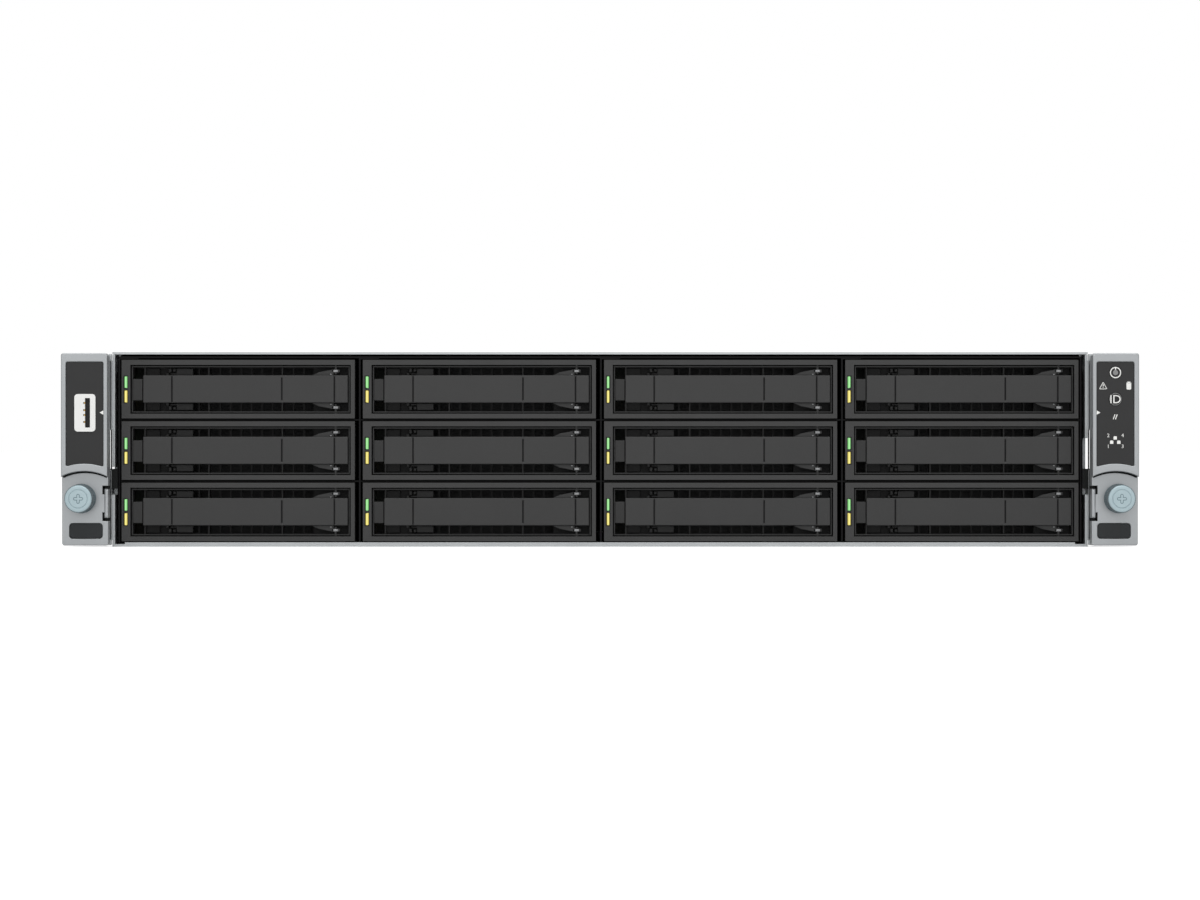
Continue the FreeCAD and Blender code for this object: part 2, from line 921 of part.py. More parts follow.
def fan_rotors():
    """A hub with slanted blades, drawn once and set in each frame."""
    rotor = new_body("fan_rotor")
    hub = sketch(rotor, "hub")
    regular(hub, "0", "0", "hub_radius", "hub_sides")
    pad(rotor, hub, "hub_depth")
    blade = sketch(rotor, "blade", "top", at="hub_radius - blade_root")
    half = "blade_chord / 2"
    polygon(
        blade,
        [
            (f"-{half}", "blade_margin"),
            (f"-{half} + blade_sheet", "blade_margin"),
            (half, "hub_depth - blade_margin"),
            (f"{half} - blade_sheet", "hub_depth - blade_margin"),
        ],
    )
    first_blade = pad(rotor, blade, "blade_tip - hub_radius + blade_root")
    turn = rotor.newObject("PartDesign::PolarPattern", "blades")
    turn.Originals = [first_blade]
    turn.Axis = (hub, ["N_Axis"])
    turn.Angle = 360
    turn.setExpression("Occurrences", cells("blade_count"))
    rotor.Tip = turn
    for number in range(4):
        at = {"x": fan_across(number), "y": "rack_plane + fan_front + hub_front", "z": FAN_HEIGHT}
        node(f"fan_rotor_{number + 1}", [rotor], **at)


# ------------------------------------------------------------ chassis and covers

# The rear ports: name, left edge, width and height of each.  The three network
# sockets are ganged in one block.
PORTS = [
    ("usb_shell", "usb_first", "usb_width", "usb_height"),
    ("display_shell", "display_first", "display_width", "display_height"),
    ("network_shell", "network_first", "2 * network_pitch + network_width", "network_height"),
]


def rear_wall(inner):
    """Upright sheet pierced for the supplies, the risers, the ports and the air."""
    wall = new_body("rear_wall")
    outline = sketch(wall, "rear_outline", at="chassis_rear - wall_sheet")
    rectangle(outline, (f"-({inner})", inner), ("wall_sheet", "wall_top"))
    pad(wall, outline, "wall_sheet")

    openings = sketch(wall, "rear_openings", at="chassis_rear - wall_sheet - cut_margin")
    rectangle(
        openings,
        ("supply_left - opening_gap", "supply_left + supply_width + opening_gap"),
        ("supply_low - opening_gap", "supply_low + supply_pitch + supply_height + opening_gap"),
    )
    for riser in range(2):
        left = f"riser_first + {riser} * riser_pitch"
        across = (f"{left} + riser_lip", f"{left} + riser_width - riser_lip")
        rectangle(openings, across, ("riser_low + riser_lip", "riser_high - riser_lip"))
    for _, left, width, height in PORTS:
        across = (f"{left} - opening_gap", f"{left} + {width} + opening_gap")
        rectangle(openings, across, ("ports_low - opening_gap", f"ports_low + {height} + opening_gap"))
    pocket(wall, openings, "wall_sheet + 2 * cut_margin")

    vent = sketch(wall, "rear_vent", at="chassis_rear - wall_sheet - cut_margin")
    across = ("partition_across + vent_first", "partition_across + vent_first + vent_slot")
    rectangle(vent, across, ("riser_low + vent_above", "riser_high - vent_below"))
    first_vent = pocket(wall, vent, "wall_sheet + 2 * cut_margin")
    in_a_row(wall, first_vent, vent, "vent_count", "vent_pitch")
    return wall


def chassis_base():
    """Folded tray with a front hem, a rear wall, a partition and rail studs."""
    base = new_body("chassis_tray")
    section = sketch(base, "wall_section", at="chassis_front")
    inner = "chassis_half - wall_sheet"
    polygon(
        section,
        [
            ("-chassis_half", "0"),
            ("chassis_half", "0"),
            ("chassis_half", "wall_top"),
            (inner, "wall_top"),
            (inner, "wall_sheet"),
            (f"-({inner})", "wall_sheet"),
            (f"-({inner})", "wall_top"),
            ("-chassis_half", "wall_top"),
        ],
    )
    pad(base, section, "chassis_rear - chassis_front")

    hem = sketch(base, "front_hem", at="chassis_front")
    rectangle(hem, ("-hem_half", "hem_half"), ("0", "hem_height"))
    pad(base, hem, "hem_depth")

    notches = sketch(base, "front_notches", at="chassis_front - cut_margin")
    margin = "chassis_half + cut_margin"
    reach = "chassis_half - wall_sheet - cut_margin"
    rectangle(notches, (f"-({margin})", f"-({reach})"), ("notch_low", "left_notch_high"))
    rectangle(notches, (reach, margin), ("notch_low", "right_notch_high"))
    pocket(base, notches, "notch_depth + cut_margin")

    clear = ("wall_sheet", "wall_top - partition_clear")
    across = ("partition_across", "partition_across + wall_sheet")
    deep = ("supply_front - partition_lead", "chassis_rear - wall_sheet")
    partition = box("supply_partition", across, deep, clear)

    studs = []
    for number in range(3):
        start = ("chassis_half", f"stud_first + {number} * stud_pitch", "stud_height")
        studs.append(rod(f"rail_stud_{number + 1}", "x", start, "stud_radius", "stud_length"))
    right = group("right_studs", studs)
    fixed = [base, rear_wall(inner), partition, right, mirrored("left_studs", right)]
    node("chassis_base", fixed)


def skirts(name, along):
    """The two folded edges of a cover, which drop inside the side walls."""
    height = ("skirt_bottom", "cover_bottom + skirt_sheet / 2")
    inner = "skirt_outer - skirt_sheet"
    return [
        box(f"{name}_right_skirt", (inner, "skirt_outer"), along, height),
        box(f"{name}_left_skirt", ("-skirt_outer", f"-({inner})"), along, height),
    ]


def covers():
    """Front cover, sliding rear cover with a sunk well, and the latch lever in it."""
    across = ("-chassis_half", "chassis_half")
    height = ("cover_bottom", "cover_top")
    split_front = "cover_split - cover_gap / 2"
    split_rear = "cover_split + cover_gap / 2"
    top = box("front_cover_sheet", across, ("chassis_front", split_front), height)
    folds = skirts("front_cover", ("chassis_front + skirt_lead", f"{split_front} - skirt_back"))
    node("front_cover", [fuse("front_cover_folded", [top] + folds)])

    top = box("rear_cover_sheet", across, (split_rear, "chassis_rear"), height)
    folds = skirts("rear_cover", (f"{split_rear} + skirt_back", "skirt_rear"))
    floor = "cover_top - latch_well"
    shell = box(
        "latch_shell",
        ("-latch_half - cover_gap", "latch_half + cover_gap"),
        ("latch_front - cover_gap", "latch_rear + cover_gap"),
        (f"{floor} - cover_gap", "cover_top"),
    )
    well = box(
        "latch_well_space",
        ("-latch_half", "latch_half"),
        ("latch_front", "latch_rear"),
        (floor, "cover_top + cut_margin"),
    )
    axle_deep = "latch_front + latch_pin_deep"
    axle_high = "cover_top - latch_pin_drop"
    axle = ("-latch_half", axle_deep, axle_high)
    pin = rod("latch_pin", "x", axle, "latch_pin_radius", "2 * latch_half")
    folded = fuse("rear_cover_folded", [top] + folds + [shell])
    node("rear_cover", [cut("rear_cover_sunk", folded, [well]), pin])

    plate = box(
        "latch_plate",
        ("-latch_half + latch_gap", "latch_half - latch_gap"),
        (axle_deep, "latch_rear - latch_gap"),
        (f"{axle_high} - latch_sheet / 2", f"{axle_high} + latch_sheet / 2"),
    )
    start = ("-latch_half + latch_gap", axle_deep, axle_high)
    radius = "latch_eye_radius + latch_eye_sheet"
    eye = rod("latch_eye", "x", start, radius, "2 * (latch_half - latch_gap)")
    grip = box(
        "latch_grip_space",
        ("-latch_half / 2", "latch_half / 2"),
        ("latch_rear - latch_grip", "latch_rear + cut_margin"),
        (f"{axle_high} - latch_sheet", f"{axle_high} + latch_sheet"),
    )
    bore = rod("latch_bore", "x", axle, "latch_eye_radius", "2 * latch_half")
    lever = cut("latch_lever", fuse("latch_body", [plate, eye]), [grip, bore])
    node("cover_latch", [lever])


# --------------------------------------------------------------------- the ears

PANEL_FRONT = "ear_front + panel_sunk"
PANEL_BACK = "ear_front + panel_sunk + panel_sheet"


def arched_block(name, across, deep, top, radius):
    """A block whose lower end is cut to an arch round the thumbscrew."""
    block = box(f"{name}_block", across, deep, ("raised_low", top))
    start = ("arch_middle", f"{deep[0]} - cut_margin", "arch_centre")
    length = f"({deep[1]}) - ({deep[0]}) + 2 * cut_margin"
    return cut(name, block, [rod(f"{name}_arch", "y", start, radius, length)])


def ear_casting(name):
    """Solid casting: a flat plate with a raised, arched upper part and round edges."""
    casting = new_body(f"{name}_casting")
    across = ("ear_inner", "ear_outer")
    flat = sketch(casting, "flat_plate", at="ear_step")
    rectangle(flat, across, ("ear_bottom", "ear_top"))
    pad(casting, flat, "-bracket_sheet - ear_step")
    raised = sketch(casting, "raised_part", at="ear_front")
    rectangle(raised, across, ("raised_low", "ear_top"))
    pad(casting, raised, "ear_step - ear_front")
    arch = sketch(casting, "arch", at="ear_front")
    circle(arch, "arch_middle", "arch_centre", "arch_radius")
    stepped = pocket(casting, arch, "ear_step - ear_front")

    def at_an_end(bounds):
        """Whether an edge is a corner at the very top or bottom of the ear."""
        ends = (sheet.ear_bottom, sheet.ear_top)
        return runs_back(bounds) and min(abs(bounds.ZMin - end) for end in ends) < TOLERANCE

    arch_top = sheet.arch_centre + sheet.arch_radius + TOLERANCE

    def round_the_front(bounds):
        """Whether an edge lies in the raised front, above the arch."""
        return abs(bounds.YMax - sheet.ear_front) < TOLERANCE and bounds.ZMax > arch_top

    cornered = rounded(casting, stepped, "corner_round", at_an_end)
    rounded(casting, cornered, "edge_round", round_the_front)
    return casting


def insert(name, front):
    """The small rounded insert below the screw, or the space for it."""
    return rounded_block(
        name,
        ("insert_inner", "insert_outer"),
        (front, "ear_step + insert_sheet"),
        ("insert_low", "insert_high"),
        "insert_round",
    )


def ear(name, tools):
    """Cast ear cover on a folded bracket with a side plate, drawn on the right."""
    border = "arch_radius + panel_border"
    sunk = arched_block(
        f"{name}_sunk",
        ("panel_inner", "panel_outer"),
        ("ear_front - cut_margin", PANEL_BACK),
        "panel_top",
        border,
    )
    start = ("screw_middle", "ear_step - cut_margin", "screw_height")
    through = prism(
        f"{name}_screw_hole", "y", start, "screw_hole_radius", "screw_end - ear_step", "button_sides"
    )
    hooks = [
        box(
            f"{name}_hook_{end}",
            ("ear_inner - cut_margin", "ear_inner + hook_width"),
            ("ear_step - cut_margin", "ear_step + hook_depth"),
            (low, f"{low} + hook_slot"),
        )
        for end, low in (("low", "hook_low"), ("high", "hook_high - hook_slot"))
    ]
    sight = box(
        f"{name}_sight",
        ("ear_inner - hook_width", "ear_inner + hook_width"),
        ("-2 * bracket_sheet", "sight_slot_rear"),
        ("sight_slot_low", "sight_slot_high"),
    )
    tab = box(
        f"{name}_hook_tab",
        ("ear_inner", "ear_inner + hook_tab_width"),
        ("ear_step - hook_tab_lift", "ear_step + hook_depth"),
        ("hook_low + hook_slot", "hook_high - hook_slot"),
    )
    spaces = [sunk, through, insert(f"{name}_insert_space", "ear_step - cut_margin"), sight]
    solid = fuse(f"{name}_solid", [ear_casting(name), tab])
    cover = cut(f"{name}_cover", solid, spaces + hooks + tools)

    plate = box(
        f"{name}_plate",
        ("chassis_half", "ear_outer"),
        ("-bracket_sheet", "0"),
        ("ear_bottom", "ear_top"),
    )
    side = box(
        f"{name}_side_plate",
        ("chassis_half", "chassis_half + side_sheet"),
        ("-bracket_sheet", "side_plate_rear"),
        ("side_plate_low", "side_plate_high"),
    )
    bracket = cut(f"{name}_bracket", fuse(f"{name}_folded", [plate, side]), [through, sight])
    return group(name, [cover, bracket])


def panel(name, holes):
    """Dark sunk panel with an arched lower end, and the insert below the screw."""
    face = arched_block(
        f"{name}_face",
        ("panel_inner", "panel_outer"),
        (PANEL_FRONT, PANEL_BACK),
        "panel_top",
        "arch_radius + panel_border",
    )
    small = insert(f"{name}_insert", "ear_step + insert_sunk")
    return group(name, [cut(f"{name}_pierced", face, holes), small])


def usb_socket():
    """White rounded shroud with a slot, and the contact tongue that stands in it."""
    shroud = rounded_block(
        "socket_shroud",
        ("socket_inner", "socket_outer"),
        ("ear_front - socket_lift", "-bracket_sheet"),
        ("socket_low", "socket_high"),
        "socket_round",
    )
    slot = box(
        "socket_slot",
        ("socket_slot_inner", "socket_slot_outer"),
        ("ear_front - cut_margin", "ear_front + socket_slot_depth"),
        ("socket_slot_low", "socket_slot_high"),
    )
    tongue = box(
        "socket_tongue",
        ("socket_slot_outer - tongue_sheet", "socket_slot_outer"),
        ("ear_front + tongue_sunk", "ear_front + socket_slot_depth"),
        ("socket_slot_low", "socket_slot_high"),
    )
    return fuse("usb_socket", [cut("socket_shell", shroud, [slot]), tongue])


def ears_and_panels():
    """Both ears with their panels, the socket and the two buttons."""
    socket_space = rounded_block(
        "socket_space",
        ("socket_inner", "socket_outer"),
        ("ear_front - cut_margin", "-bracket_sheet"),
        ("socket_low", "socket_high"),
        "socket_round",
    )
    node("left_ear", [mirrored("left_ear_mirrored", ear("left_ear_drawn", [socket_space]))])
    left_panel = mirrored("left_panel_mirrored", panel("left_panel", [socket_space]))
    node("usb_port", [mirrored("usb_mirrored", usb_socket())])

    wells = []
    holes = []
    sides = "button_sides"
    for name, height, radius in (
        ("power", "power_height", "power_radius"),
        ("id", "identify_height", "identify_radius"),
    ):
        start = ("button_middle", f"{PANEL_FRONT} - button_lift", height)
        deep = "button_well_depth"
        wells.append(prism(f"{name}_well", "y", start, f"{radius} + button_well_gap", deep, sides))
        holes.append(prism(f"{name}_hole", "y", start, f"{radius} + button_gap", deep, sides))
        node(f"{name}_button", [prism(f"{name}_cap", "y", start, radius, "button_length", sides)])
    node("right_ear", [ear("right_ear_drawn", wells)])
    node("ear_panels", [left_panel, panel("right_panel", holes)])


def thumbscrews():
    """Captive screw turned from bar: knurled knob, collar, cross recess and shank."""
    screw = new_body("thumbscrew")
    under = "ear_step - screw_lift"
    knob = sketch(screw, "knob", at="screw_face")
    regular(knob, "0", "0", "screw_knob_radius", "knurl_sides")
    turned_knob = pad(screw, knob, f"{under} - screw_face")
    doc.recompute()
    rim = [
        f"Edge{number}"
        for number, edge in enumerate(turned_knob.Shape.Edges, 1)
        if edge.BoundBox.YMax < sheet.screw_face + TOLERANCE
    ]
    chamfer = screw.newObject("PartDesign::Chamfer", "knob_chamfer")
    chamfer.Base = (turned_knob, rim)
    chamfer.setExpression("Size", cells("screw_chamfer"))
    collar = sketch(screw, "collar", at=f"{under} - screw_collar")
    regular(collar, "0", "0", "screw_collar_radius", "knurl_sides")
    pad(screw, collar, "screw_collar")
    profile = sketch(screw, "shank_profile", "top")
    polygon(
        profile,
        [
            ("0", f"{under} - screw_root"),
            ("screw_neck_radius", f"{under} - screw_root"),
            ("screw_neck_radius", "0"),
            ("screw_shank_radius", "0"),
            ("screw_shank_radius", "screw_end"),
            ("0", "screw_end"),
        ],
    )
    turned = screw.newObject("PartDesign::Revolution", "turned")
    turned.Profile = profile
    turned.ReferenceAxis = (profile, ["V_Axis"])
    turned.Angle = 360
    arm = "cross_length / 2"
    half = "cross_width / 2"
    steps = [(arm, half), (half, half), (half, arm)]
    cross = sketch(screw, "cross", at="screw_face")
    corners = []
    for across_sign, up_sign, order in ((1, 1, 1), (-1, 1, -1), (-1, -1, 1), (1, -1, -1)):
        for across, up in steps[::order]:
            corners.append((f"{across_sign} * {across}", f"{up_sign} * {up}"))
    polygon(cross, corners)
    pocket(screw, cross, "cross_depth")
    node("left_thumbscrew", [screw], x="-screw_middle", z="screw_height")
    node("right_thumbscrew", [screw], x="screw_middle", z="screw_height")


# ----------------------------------------------------------- boards and the rear

def heat_sink():
    """Finned block, its fins along the airflow."""
    sink = new_body("heat_sink")
    foot = sketch(sink, "sink_base", "top")
    rectangle(foot, ("0", "sink_width"), ("0", "sink_length"))
    pad(sink, foot, "sink_base")
    fin = sketch(sink, "fin", "top", at="sink_base / 2")
    rectangle(fin, ("0", "fin_sheet"), ("0", "sink_length"))
    first_fin = pad(sink, fin, "sink_height - sink_base / 2")
    in_a_row(sink, first_fin, fin, "fin_count", "fin_pitch")
    return sink


def network_sockets():
    """The spaces for three network plugs."""
    spaces = []
    for number in range(3):
        left = f"network_first + {number} * network_pitch"
        spaces.append(
            box(
                f"network_space_{number + 1}",
                (f"{left} + network_wall", f"{left} + network_width - network_wall"),
                ("chassis_rear - port_depth + network_floor", "chassis_rear + cut_margin"),
                ("ports_low + network_floor", "ports_low + network_height - network_floor"),
            )
        )
    return spaces


def mainboard():
    """Board with two heat sinks, memory modules beside each, and the rear ports."""
    board_top = "main_low + main_sheet"
    board = box(
        "main_board", ("main_left", "main_right"), ("main_front", "main_rear"), ("main_low", board_top)
    )
    sink = heat_sink()
    fitted = [board]
    for number in range(2):
        left = f"sink_first + {number} * sink_pitch"
        copy = group(f"sink_{number + 1}", [sink])
        fitted.append(bind(copy, Placement_x=left, Placement_y="sink_front", Placement_z=board_top))
        banks = (
            ("left", f"{left} - module_bank * module_pitch"),
            ("right", f"{left} + sink_width + module_clear"),
        )
        for side, edge in banks:
            for place_in_bank in range(int(sheet.module_bank)):
                across = f"{edge} + {place_in_bank} * module_pitch"
                fitted.append(
                    box(
                        f"memory_{number + 1}_{side}_{place_in_bank + 1}",
                        (across, f"{across} + module_sheet"),
                        ("module_front", "module_front + module_length"),
                        (board_top, f"{board_top} + module_height"),
                    )
                )
    for name, left, width, height in PORTS:
        shell = box(
            name,
            (left, f"{left} + {width}"),
            ("chassis_rear - port_depth", "chassis_rear + port_lift"),
            (board_top, f"ports_low + {height}"),
        )
        if name == "network_shell":
            node("network_ports", [cut("network_block", shell, network_sockets())])
        else:
            fitted.append(shell)
    node("mainboard", fitted)


def riser_modules():
    """Two riser cages: an upright card, a top sheet and three slot covers each."""
    pieces = []
    rear = "chassis_rear - wall_sheet"
    for riser in range(2):
        left = f"riser_first + {riser} * riser_pitch"
        name = f"riser_{riser + 1}"
        depth = ("riser_front", f"{rear} - card_clear")
        under = "riser_high - riser_sheet"
        card = box(f"{name}_card", (left, f"{left} + riser_card"), depth, ("riser_low", under))
        top = box(
            f"{name}_top",
            (left, f"{left} + riser_width"),
            ("riser_front", rear),
            (under, "riser_high"),
        )
        pieces += [card, top]
        for slot_number in range(3):
            low = f"riser_low + riser_sheet + {slot_number} * slot_cover_pitch"
            pieces.append(
                box(
                    f"{name}_slot_cover_{slot_number + 1}",
                    (left, f"{left} + riser_width"),
                    (f"{rear} - riser_sheet", rear),
                    (low, f"{low} + slot_cover_height"),
                )
            )
    node("riser_modules", pieces)


def power_supplies():
    """Two plug-in supplies, one over the other, with an inlet and a pull handle."""
    low = "supply_low"
    left = "supply_left"
    block = box(
        "supply_block",
        (left, f"{left} + supply_width"),
        ("supply_front", "supply_face"),
        (low, f"{low} + supply_height"),
    )
    inlet = box(
        "inlet_space",
        (f"{left} + inlet_left", f"{left} + inlet_left + inlet_width"),
        ("supply_face - inlet_depth", "supply_face + cut_margin"),
        (f"{low} + inlet_low", f"{low} + inlet_low + inlet_height"),
    )
    start = (f"{left} + supply_fan_across", "supply_face - supply_fan_depth", f"{low} + supply_height / 2")
    depth = "supply_fan_depth + cut_margin"
    grille = rod("supply_fan_space", "y", start, "supply_fan_radius", depth)
    body = cut("supply_body", block, [inlet, grille])
    edge = f"{left} + supply_width - handle_inset"
    across = (f"{edge} - handle_wire", edge)
    reach = ("supply_face", "handle_end")
    bottom = f"{low} + handle_low"
    top = f"{low} + handle_high"
    bars = [
        box("lower_handle_bar", across, reach, (bottom, f"{bottom} + handle_wire")),
        box("upper_handle_bar", across, reach, (f"{top} - handle_wire", top)),
        box("handle_grip", across, ("handle_end - handle_wire", "handle_end"), (bottom, top)),
    ]
    supply = fuse("power_supply", [body] + bars)
    node("power_supply_1", [supply])
    node("power_supply_2", [supply], z="supply_pitch")


drive_bays()
drive_cage()
drive_backplane()
fan_frames()
fan_rotors()
chassis_base()
covers()
ears_and_panels()
thumbscrews()
mainboard()
riser_modules()
power_supplies()
doc.recompute()

for item in doc.Objects:
    if "Invalid" in item.State or "Error" in item.State:
        raise RuntimeError(f"{item.Name} failed: {item.State}")
os.makedirs("parts", exist_ok=True)
for item in nodes:
    if item.Shape.isNull() or not item.Shape.isValid() or not item.Shape.Solids:
        raise RuntimeError(f"{item.Label} has no valid solid")
for item in nodes:
    item.Shape.exportStep(f"parts/{item.Label}.step")
print(len(nodes), "sub-parts")
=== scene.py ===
"""A 2U rack server with twelve drive carriers, finished on the frame of its parts.

Sizes are in millimetres and become metres once, when a piece is made.  +X is to the
right seen from the front, +Y runs to the rear and +Z is up.
"""

from math import cos, pi, radians, sin

import bmesh
import bpy
from mathutils import Matrix, Vector


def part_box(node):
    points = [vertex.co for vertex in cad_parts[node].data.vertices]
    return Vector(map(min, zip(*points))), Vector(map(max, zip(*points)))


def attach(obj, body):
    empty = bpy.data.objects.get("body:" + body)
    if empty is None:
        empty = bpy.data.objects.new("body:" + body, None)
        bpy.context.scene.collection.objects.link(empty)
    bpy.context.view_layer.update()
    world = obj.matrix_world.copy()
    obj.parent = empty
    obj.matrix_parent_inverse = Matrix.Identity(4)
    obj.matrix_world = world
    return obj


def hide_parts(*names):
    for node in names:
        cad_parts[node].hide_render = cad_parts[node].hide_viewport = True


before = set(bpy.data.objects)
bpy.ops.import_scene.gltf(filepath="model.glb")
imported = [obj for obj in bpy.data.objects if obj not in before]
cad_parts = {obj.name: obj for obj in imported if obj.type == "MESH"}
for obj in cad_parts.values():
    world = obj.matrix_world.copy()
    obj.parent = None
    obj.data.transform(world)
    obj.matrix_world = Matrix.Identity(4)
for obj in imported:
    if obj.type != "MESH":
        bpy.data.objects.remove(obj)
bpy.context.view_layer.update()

# ------------------------------------------------------------------ chassis tray
# Tray, rear wall and partition of zinc-plated steel sheet, punched, folded and
# riveted.  The plating is pale grey and half dull, with faint marks of the rolling.


def linear(code):
    """A colour written as sRGB hex, as the linear colour that a shader takes."""
    parts = [int(code[k : k + 2], 16) / 255 for k in (1, 3, 5)]
    return [c / 12.92 if c <= 0.04045 else ((c + 0.055) / 1.055) ** 2.4 for c in parts] + [1]


def add(material, kind, inputs, **settings):
    """One shader node with its settings, and the values or links of its inputs."""
    made = material.node_tree.nodes.new("ShaderNode" + kind)
    for name, value in settings.items():
        setattr(made, name, value)
    for socket, value in inputs.items():
        if isinstance(value, bpy.types.NodeSocket):
            material.node_tree.links.new(value, made.inputs[socket])
        else:
            made.inputs[socket].default_value = value
    return made


def new_material(name):
    """A material, and its shader."""
    material = bpy.data.materials.new(name)
    material.use_nodes = True
    return material, material.node_tree.nodes["Principled BSDF"]


def blend(material, share, first, second):
    """A colour between two, by the output of a node."""
    inputs = {0: share, 6: linear(first), 7: linear(second)}
    return add(material, "Mix", inputs, data_type="RGBA").outputs[2]


def surfaced(
    name, dark, light, patch, grain, relief, roughness, metallic=0.0, along=(1, 1, 1), shine=0.5
):
    """A finish that drifts between two colours over patches, with a grained skin.

    patch, grain and relief are the real sizes of the drift, of the grain and of its
    depth in millimetres, and along stretches both where the making left a direction.
    shine is the strength of what the bare skin mirrors.
    """
    material, shader = new_material(name)
    shader.inputs["Metallic"].default_value = metallic
    shader.inputs["Specular IOR Level"].default_value = shine
    place = add(material, "TexCoord", {})
    drawn = add(material, "Mapping", {"Vector": place.outputs["Object"], "Scale": along})
    drift = add(material, "TexNoise", {"Vector": drawn.outputs[0], "Scale": 1000 / patch, "Detail": 3.0})
    skin = add(material, "TexNoise", {"Vector": drawn.outputs[0], "Scale": 1000 / grain, "Detail": 2.0})
    tint = blend(material, drift.outputs[0], dark, light)
    dull = add(material, "MapRange", {0: skin.outputs[0], 3: roughness - 0.08, 4: roughness + 0.08})
    height = {"Height": skin.outputs[0], "Distance": relief / 1000, "Strength": 0.6}
    bump = add(material, "Bump", height)
    join = material.node_tree.links.new
    join(tint, shader.inputs["Base Color"])
    join(dull.outputs[0], shader.inputs["Roughness"])
    join(bump.outputs[0], shader.inputs["Normal"])
    return material


def dress(node, finish):
    """Give a part of the frame its finish."""
    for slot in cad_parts[node].material_slots:
        slot.material = finish


def corners(node):
    """Lowest and highest corner of a part of the frame, in millimetres."""
    low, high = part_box(node)
    return low * 1000, high * 1000


# The rolling marks are 1 mm apart, drawn coarse enough to show.
zinc_steel = surfaced(
    "zinc_plated_steel_rolled", "#A4A7A9", "#B9BCBD", 30, 1.0, 0.02, 0.42, 0.85, along=(1, 0.12, 1)
)
dress("chassis_base", zinc_steel)
chassis_low, chassis_high = corners("chassis_base")


def moved(shape, by, verts=None):
    """Shift a shape, or some of its corners."""
    bmesh.ops.translate(shape, vec=by, verts=shape.verts if verts is None else verts)
    return shape


def scaled(shape, by, verts=None):
    """Stretch a shape, or some of its corners, away from the origin."""
    bmesh.ops.scale(shape, vec=by, verts=shape.verts if verts is None else verts)
    return shape


def spun(shape, angle, axis, about=(0, 0, 0)):
    """Turn a shape about an axis through a point."""
    bmesh.ops.rotate(shape, cent=about, matrix=Matrix.Rotation(angle, 3, axis), verts=shape.verts)
    return shape


def rounded(shape, edges, radius, segments=2):
    """Round some edges of a shape."""
    bmesh.ops.bevel(
        shape,
        geom=list(edges),
        offset=radius,
        segments=segments,
        affect="EDGES",
        profile=0.5,
        material=-1,
        clamp_overlap=True,
    )
    return shape


def sharp_edges(shape):
    """The edges where two faces meet at a clear angle."""
    return [edge for edge in shape.edges if edge.calc_face_angle(0) > radians(25)]


def runs_back(edge):
    """Whether an edge runs straight from front to rear."""
    start, end = (vert.co for vert in edge.verts)
    return abs(start.x - end.x) < 0.01 and abs(start.z - end.z) < 0.01


def block(low, high, edge=0.0, segments=2):
    """A block between two corners, with all its edges rounded."""
    shape = bmesh.new()
    bmesh.ops.create_cube(shape, size=1.0)
    low, high = Vector(low), Vector(high)
    moved(scaled(shape, high - low), (low + high) / 2)
    return rounded(shape, shape.edges[:], edge, segments) if edge else shape


def sized(low, size, edge=0.0, segments=2):
    """A block from its lowest corner and its size."""
    return block(low, Vector(low) + Vector(size), edge, segments)


def turned(profile, sides, centre=(0, 0, 0)):
    """A closed shape turned about a line through centre, from front to rear.

    The profile's points are a radius and a depth each.
    """
    shape = bmesh.new()
    points = [shape.verts.new((radius, depth, 0)) for radius, depth in profile]
    lines = [shape.edges.new(pair) for pair in zip(points, points[1:])]
    bmesh.ops.spin(
        shape,
        geom=points + lines,
        cent=(0, 0, 0),
        axis=(0, -1, 0),
        angle=2 * pi,
        steps=sides,
        use_merge=True,
    )
    bmesh.ops.remove_doubles(shape, verts=shape.verts, dist=0.0005)
    return moved(shape, centre)


def together(shapes):
    """Several shapes as one, each still closed on its own, or one shape as it is."""
    if not isinstance(shapes, list):
        return shapes
    whole = bmesh.new()
    for shape in shapes:
        mesh = bpy.data.meshes.new("part")
        shape.to_mesh(mesh)
        shape.free()
        whole.from_mesh(mesh)
        bpy.data.meshes.remove(mesh)
    return whole


def piece(name, shapes, body, finish, stands_for=(), at=(0, 0, 0)):
    """A mesh in metres that rides on a body, from shapes in millimetres."""
    shape = scaled(moved(together(shapes), at), (0.001, 0.001, 0.001))
    bmesh.ops.recalc_face_normals(shape, faces=shape.faces)
    mesh = bpy.data.meshes.new(name)
    shape.to_mesh(mesh)
    shape.free()
    mesh.materials.append(finish)
    mesh.polygons.foreach_set("use_smooth", [True] * len(mesh.polygons))
    mesh.set_sharp_from_angle(angle=radians(50))
    made = bpy.data.objects.new(name, mesh)
    shading = made.modifiers.new("flat_faces_stay_flat", "WEIGHTED_NORMAL")
    shading.keep_sharp = True
    bpy.context.scene.collection.objects.link(made)
    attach(made, body)
    if stands_for:
        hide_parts(*stands_for)


# Blind rivets hold the tray's folds, the cage and the rear wall: low steel domes.
RIVET_HEIGHT = 0.8
RIVET_PROFILE = [(0, -RIVET_HEIGHT), (0.7, -0.95 * RIVET_HEIGHT), (1.5, -0.6 * RIVET_HEIGHT)]
RIVET_PROFILE += [(2.1, 0), (0, 0)]
STUD_LENGTH = 3
RIVET_DEPTHS = (98, 158, 236, 330, 452, 560, 668)
RIVET_ROWS = (12, 72)
wall = chassis_high.x - STUD_LENGTH
side_rivets = []
for depth in RIVET_DEPTHS:
    for height in RIVET_ROWS:
        for side in (1, -1):
            head = spun(turned(RIVET_PROFILE, 16), side * pi / 2, "Z")
            side_rivets.append(moved(head, (side * wall, chassis_low.y + depth, height)))
rivet_steel = surfaced("plated_steel_rivet", "#A2A5A7", "#B4B6B7", 8, 0.8, 0.01, 0.38, 0.9)
piece("chassis_rivets", side_rivets, "chassis", rivet_steel)

